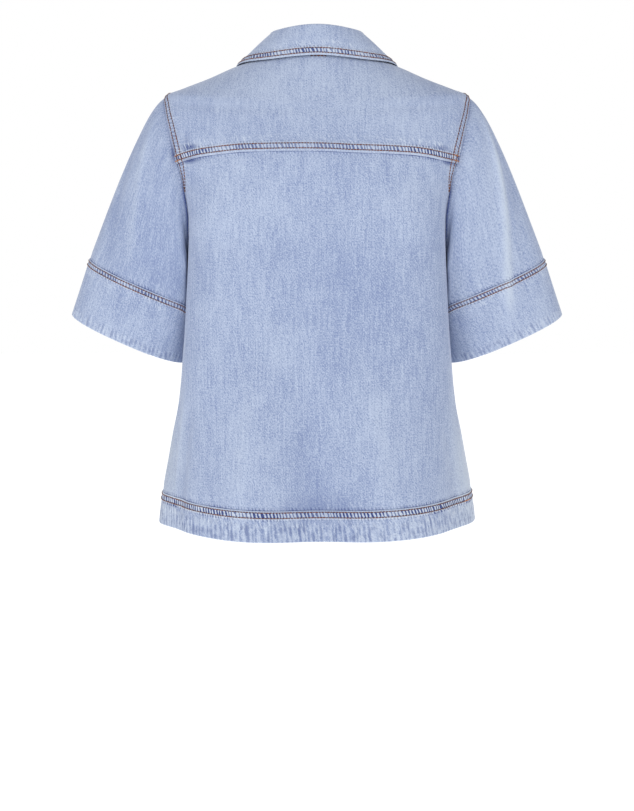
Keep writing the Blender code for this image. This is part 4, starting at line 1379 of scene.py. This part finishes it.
# %% A group of geometry nodes
class Group(Nodes):
    """Geometry nodes being written: they take a geometry, some numbers and a material."""

    def __init__(self, name, **numbers):
        super().__init__(bpy.data.node_groups.new(name, "GeometryNodeTree"))
        self.ids = {}
        self.add_input("Geometry", "NodeSocketGeometry")
        for key, value in numbers.items():
            kind = "NodeSocketInt" if isinstance(value, int) else "NodeSocketFloat"
            self.add_input(key, kind).default_value = value
        self.add_input("Material", "NodeSocketMaterial")
        self.tree.interface.new_socket("Geometry", in_out="OUTPUT", socket_type="NodeSocketGeometry")
        self.start = self.tree.nodes.new("NodeGroupInput")

    def add_input(self, name, kind):
        socket = self.tree.interface.new_socket(name, in_out="INPUT", socket_type=kind)
        self.ids[name] = socket.identifier
        return socket

    def given(self, name):
        return Value(self, self.start.outputs[name])

    def finish(self, copies):
        """Turn the copies into one mesh, give it the material and put it out."""
        real = self.node("GeometryNodeRealizeInstances", None, copies)
        done = self.node("GeometryNodeSetMaterial", None, Geometry=real, Material=self.given("Material"))
        self.join(done, self.tree.nodes.new("NodeGroupOutput").inputs[0])

    def apply(self, name, mesh, **values):
        """An object that holds, as one plain mesh, what the group makes of a mesh."""
        holder = add_object(mesh.name, mesh)
        modifier = holder.modifiers.new("group", "NODES")
        modifier.node_group = self.tree
        for key, value in values.items():
            modifier[self.ids[key]] = value
        made = bpy.data.meshes.new_from_object(
            holder.evaluated_get(bpy.context.evaluated_depsgraph_get()))
        bpy.data.objects.remove(holder)
        bpy.data.meshes.remove(mesh)
        made.name = name
        return add_object(name, made)


# %% Stitches along a row
STITCH_PITCH = 0.0036
STITCH_LENGTH = 0.0037
STITCH_THICKNESS = 0.00075
STITCH_UNEVEN = (0.88, 1.06)  # the smallest and the largest, as shares


def stitch_group():
    g = Group("stitch_rows", Pitch=STITCH_PITCH, Length=STITCH_LENGTH,
              Thickness=STITCH_THICKNESS, Seed=1)
    curve = g.node("GeometryNodeMeshToCurve", None, g.given("Geometry"))
    points = g.node("GeometryNodeCurveToPoints", {"mode": "LENGTH"}, out="Points",
                    Curve=curve, Length=g.given("Pitch"))
    spindle = g.node("GeometryNodeMeshUVSphere", None, out="Mesh", Segments=6, Rings=4, Radius=0.5)
    wide = g.given("Thickness") * 2.0
    uneven = g.node("FunctionNodeRandomValue", {"data_type": "FLOAT"}, out="Value",
                    Min=STITCH_UNEVEN[0], Max=STITCH_UNEVEN[1], Seed=g.given("Seed"))
    size = g.node("ShaderNodeVectorMath", {"operation": "SCALE"},
                  g.vector(wide, wide, g.given("Length")), Scale=uneven)
    copies = g.node("GeometryNodeInstanceOnPoints", None, Points=points, Instance=spindle,
                    Rotation=points.also("Rotation"), Scale=size)
    toned = g.node("GeometryNodeStoreNamedAttribute", {"domain": "INSTANCE", "data_type": "FLOAT"},
                   Geometry=copies, Name="thread_tone", Value=uneven)
    g.finish(toned)
    return g


stitches = stitch_group()
print("the stitches' inputs:", list(stitches.ids))


# %% Thread
def thread_finish(name, dark, light):
    f = Finish(name, Roughness=0.55, Sheen_Weight=0.2, Sheen_Roughness=0.4)
    x, y, z = f.place()
    tone = f.attribute("thread_tone", out="Fac")
    ply = f.noise(f.vector(x * 900, y * 900, z * 900), detail=1.0)
    patch = f.noise(f.vector(x * 30, y * 30, z * 30), detail=1.0)
    share = f.ramp(tone, *STITCH_UNEVEN) * 0.3 + (ply - 0.5) * 0.7 + patch * 0.9 - 0.1
    f.feed("Base Color", f.mix(share.clamped(), dark, light))
    return f.material


thread = thread_finish("thread_rust", (0.060, 0.022, 0.020, 1), (0.230, 0.066, 0.028, 1))
bright_thread = thread_finish("thread_orange", (0.420, 0.130, 0.025, 1), (0.600, 0.230, 0.050, 1))
print("threads:", thread.name, "and", bright_thread.name)


# %% Lay the rows on the cloth
STITCH_LIFT = 0.00040


def surface_tree(cloth):
    points = cloth.finished()
    return BVHTree.FromPolygons(points.reshape(-1, 3).tolist(), grid_quads(*points.shape[:2]).tolist())


def laid(tree, line, normals):
    """Points dropped onto the cloth and lifted by half a thread."""
    hits = [tree.find_nearest(Vector(point))[0] for point in line]
    return np.array([np.array(hit) + normal * STITCH_LIFT for hit, normal in zip(hits, normals)])


def row_line(cloth, tree, edge, distance):
    """A line on the cloth at a distance from one of its edges."""
    flat = cloth.base.reshape(-1, 3)
    near = [int(np.argmin(((flat - p) ** 2).sum(-1))) for p in edge]
    normals = cloth.normals.reshape(-1, 3)[near]
    inward = unit(np.cross(normals, unit(np.gradient(edge, axis=0))))
    mid = len(edge) // 2
    rows, cols = cloth.base.shape[:2]
    r, c = divmod(near[mid], cols)
    inner = cloth.base[min(max(r, 3), rows - 4), min(max(c, 3), cols - 4)]
    if np.dot(inward[mid], inner - edge[mid]) < 0:
        inward = -inward
    return laid(tree, edge + inward * distance[:, None], normals)


LINE_SPACING = 0.0012
BAR_POINTS = 12  # along a short row that is given by its ends


def resampled(line, start, stop, count):
    """Points spaced evenly along a line, from one running length to another."""
    at = running_length(line, 0)
    places = np.linspace(start, stop, count)
    return np.stack([np.interp(places, at, line[:, k]) for k in range(3)], 1)


def evenly(line):
    length = running_length(line, 0)[-1]
    return resampled(line, 0, length, max(2, round(length / LINE_SPACING)))


def line_part(line, start, stop):
    """Part of a line; a negative start counts from its end, and so does a missing stop."""
    length = running_length(line, 0)[-1]
    return resampled(line, length + start if start < 0 else start, length if stop is None else stop,
                     BAR_POINTS)


def stitched(name, lines, material, seed, pitch=STITCH_PITCH, thickness=STITCH_THICKNESS):
    """Rows of stitches along lines, as one plain mesh."""
    lines = [evenly(line) for line in lines]
    points = np.concatenate(lines)
    starts = np.cumsum([0] + [len(line) for line in lines])
    edges = [(i, i + 1) for a, b in zip(starts[:-1], starts[1:]) for i in range(a, b - 1)]
    mesh = bpy.data.meshes.new(name + "_rows")
    mesh.from_pydata(points.tolist(), edges, [])
    obj = stitches.apply(name, mesh, Pitch=pitch, Thickness=thickness, Seed=seed, Material=material)
    obj.data.shade_smooth()
    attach(obj, "root")
    print(f"{name}: {len(lines)} rows, {len(obj.data.polygons)} faces")


all_cloth = {"yoke": yoke, "back": back, "collar_leaf": leaf, "collar_stand": stand}
for kind, group in (("front", fronts), ("hem", hem), ("band", bands)):
    all_cloth.update({f"{kind}_{side}": cloth for side, cloth in group.items()})
for number, (name, cloth) in enumerate(all_cloth.items()):
    tree = surface_tree(cloth)
    lines = [row_line(cloth, tree, edge, distance) for edge, distance in cloth.rows]
    stitched(f"stitches_{name}", lines, thread, seed=200 + number)
    if name == "yoke":  # its seam's rows end in short bars, and a short row is sewn under the middle of the collar
        bars = [line_part(line, *part) for line in lines[-2:] for part in ((0, 0.010), (-0.010, None))]
        loop = np.array([(x, 0.070, 0.0072) for x in np.linspace(-0.011, 0.007, BAR_POINTS)])
        under_collar = laid(tree, loop, np.broadcast_to((0.0, 0.8, 0.6), loop.shape))
        stitched("stitches_under_collar", [under_collar], thread, seed=90, thickness=0.0008)
    if name == "hem_right":
        bars.append(line_part(lines[-1], 0.003, 0.016))
stitched("stitches_heavy", bars, bright_thread, seed=91, pitch=0.0034, thickness=0.0009)

# %% [markdown]
# ## Buttons
# A shirt button of metal is turned: one profile, once round. In Geometry Nodes a flat grid can be rolled
# into such a shape. Its first direction becomes the turn, and its second is read through two curves,
# one for the radius and one for the height.

# %% Turned buttons
BUTTON_RADIUS = 0.0075
BUTTON_HEIGHT = 0.0034
BUTTON_LIFT = 0.0009
BUTTON_HEIGHTS = (-0.135, -0.225, -0.315, -0.405, -0.495)
COPPER_DEEP = (0.200, 0.105, 0.065, 1)
COPPER_LIGHT = (0.520, 0.300, 0.190, 1)
BUTTON_STEPS = 40  # round the button
BUTTON_PROFILE_STEPS = 24
BUTTON_PROFILE = (  # how far along the profile, then the radius and height as shares
    (0.00, 0.36, 0.00), (0.10, 0.36, 0.35), (0.20, 0.92, 0.42), (0.32, 1.00, 0.62), (0.42, 0.97, 0.86),
    (0.52, 0.88, 0.98), (0.60, 0.80, 0.93), (0.68, 0.74, 0.76), (0.78, 0.55, 0.78), (0.90, 0.28, 0.86),
    (1.00, 0.00, 0.88),
)


def button_group():
    g = Group("turned_button", Radius=BUTTON_RADIUS, Height=BUTTON_HEIGHT)
    grid = g.node("GeometryNodeMeshGrid", None, out="Mesh", Size_X=1.0, Size_Y=1.0,
                  Vertices_X=BUTTON_STEPS + 1, Vertices_Y=BUTTON_PROFILE_STEPS + 1)
    x, y, _ = g.parts(g.node("GeometryNodeInputPosition"))
    turn, along = (x + 0.5) * TAU, y + 0.5

    def profile(place):
        made = g.node("ShaderNodeFloatCurve", None, Value=along)
        mapping = made.socket.node.mapping
        points = mapping.curves[0].points
        while len(points) < len(BUTTON_PROFILE):
            points.new(0.5, 0.5)
        for point, row in zip(points, BUTTON_PROFILE):
            point.location = (row[0], row[place])
            point.handle_type = "AUTO_CLAMPED"
        mapping.update()
        return made

    out = profile(1) * g.given("Radius")
    to = g.vector(out * turn.cosine(), out * turn.sine(), profile(2) * g.given("Height"))
    rolled = g.node("GeometryNodeSetPosition", None, Geometry=grid, Position=to)
    welded = g.node("GeometryNodeMergeByDistance", None, Geometry=rolled, Distance=0.00002)
    softened = g.node("GeometryNodeSetShadeSmooth", None, welded)
    cap = g.node("GeometryNodeMeshCircle", {"fill_type": "NGON"}, Vertices=BUTTON_STEPS,
                 Radius=g.given("Radius") * BUTTON_PROFILE[0][1])
    both = g.node("GeometryNodeJoinGeometry", None, softened)
    g.join(g.node("GeometryNodeFlipFaces", None, cap), both.socket.node.inputs[0])
    button = g.node("GeometryNodeMergeByDistance", None, Geometry=both, Distance=0.00005)
    facing = g.node("GeometryNodeInputNamedAttribute", {"data_type": "FLOAT_VECTOR"}, Name="facing")
    aim = g.node("FunctionNodeAlignRotationToVector", {"axis": "Z"}, Vector=facing)
    g.finish(g.node("GeometryNodeInstanceOnPoints", None, Points=g.given("Geometry"),
                    Instance=button, Rotation=aim))
    return g


def button_finish():
    f = Finish("button_copper", Metallic=1.0)
    x, y, z = f.place()
    worn = f.noise(f.vector(x * 420, y * 420, z * 420), detail=3.0)
    f.feed("Base Color", f.mix(f.ramp(worn, 0.35, 0.65), COPPER_DEEP, COPPER_LIGHT))
    f.feed("Roughness", 0.26 + worn * 0.30)
    f.bump(worn, strength=0.3, distance=0.0002)
    return f.material


def button_seats():
    """Where each button sits, and which way it faces: one on the stand, the others down the front."""
    foot, fold, out = collar_root(np.array([-np.pi]))
    seats = [(foot[0] + (fold[0] - foot[0]) * STAND_SHARE / 2 + out[0] * STAND_HALF_WALL, out[0])]
    levels = np.linspace(HEM_SEAM, NECK, 400)
    heights = body(-np.pi, levels)[:, 2]
    for height in BUTTON_HEIGHTS:
        level = np.interp(height, heights, levels)
        seats.append((body(-np.pi, level), body_normal(-np.pi, level)))
    return seats


seats = button_seats()
mesh = bpy.data.meshes.new("button_seats")
mesh.from_pydata([tuple(seat + out * BUTTON_LIFT) for seat, out in seats], [], [])
add_attribute(mesh, "facing", "FLOAT_VECTOR", np.array([out for _, out in seats]))
buttons = button_group().apply("buttons", mesh, Material=button_finish())
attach(buttons, "root")
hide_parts(*[f"button_{k}" for k in range(1, 7)])
print(f"{len(seats)} buttons, {len(buttons.data.polygons)} faces")

# %% [markdown]
# ## Stage, light and camera
# The shirt hangs where a wearer would carry it, so the floor is far below. A white surround gives the
# soft, nearly shadowless light of a catalogue studio. Four large lamps give the folds a little shape:
# two stand on the camera's side, and two at the front. The camera stands two metres behind the shirt
# and looks level; its shift puts the shirt high in the picture.

# %% Stage and lights
FLOOR_DROP = 1.45
FLOOR_HALF = 30
SURROUND_LIGHT = 0.58
mesh = bpy.data.meshes.new("floor")
corners = [(x * FLOOR_HALF, y * FLOOR_HALF, -FLOOR_DROP)
           for x, y in ((-1, -1), (1, -1), (1, 1), (-1, 1))]
mesh.from_pydata(corners, [], [(0, 1, 2, 3)])
floor = add_object("floor", mesh)
pale = Finish("floor_white", Base_Color=(0.95, 0.95, 0.95, 1), Roughness=0.9,
              Emission_Color=(1, 1, 1, 1), Emission_Strength=0.60)
mesh.materials.append(pale.material)

world = bpy.data.worlds.new("studio")
bpy.context.scene.world = world
world.use_nodes = True
surround = world.node_tree.nodes["Background"]
surround.inputs["Color"].default_value = (1.0, 1.0, 1.0, 1)
light = Nodes(world.node_tree)  # white to the eye, softer as a light
looked_at = light.node("ShaderNodeLightPath", out="Is Camera Ray")
strength = light.node("ShaderNodeMapRange", None, Value=looked_at, To_Min=SURROUND_LIGHT, To_Max=1.0)
light.join(strength, surround.inputs["Strength"])

LAMPS = {  # place, size and power
    "key": ((-0.8, 2.7, 1.6), 0.9, 22),
    "fill": ((1.6, 2.5, 0.1), 0.9, 15),
    "front_key": ((0.8, -2.7, 1.6), 1.2, 20),
    "front_fill": ((-1.0, -2.8, 0.0), 1.2, 14),
}
LIT = Vector((0, 0, -0.3))
for name, (place, size, power) in LAMPS.items():
    data = bpy.data.lights.new(name, "AREA")
    data.shape, data.size, data.energy = "DISK", size, power
    lamp = add_object(name, data)
    lamp.location = place
    lamp.rotation_euler = (LIT - Vector(place)).to_track_quat("-Z", "Y").to_euler()
print(f"{len(LAMPS)} lamps, and a floor {FLOOR_DROP} m below the shoulders")

# %% Camera
CAMERA_DISTANCE = 2.0
PICTURE_HEIGHT = 811  # in pixels, and so is the focal length
FOCAL_PIXELS = 1538.5
EYE_LEVEL = -0.3042
EYE_PIXEL = 300  # the picture's row at the height of the eye
SENSOR_WIDTH = 36.0
camera_data = bpy.data.cameras.new("camera")
camera_data.sensor_width = SENSOR_WIDTH
camera_data.lens = SENSOR_WIDTH * FOCAL_PIXELS / PICTURE_HEIGHT
camera_data.shift_y = (EYE_PIXEL - PICTURE_HEIGHT / 2) / PICTURE_HEIGHT
camera = add_object("camera", camera_data)
camera.location = (0.0, CAMERA_DISTANCE, EYE_LEVEL)
camera.rotation_euler = (math.radians(90), 0.0, math.radians(180))
bpy.context.scene.camera = camera
bpy.context.scene.view_settings.view_transform = "Standard"
print(f"lens {camera_data.lens:.1f} mm, shift {camera_data.shift_y:.4f}")
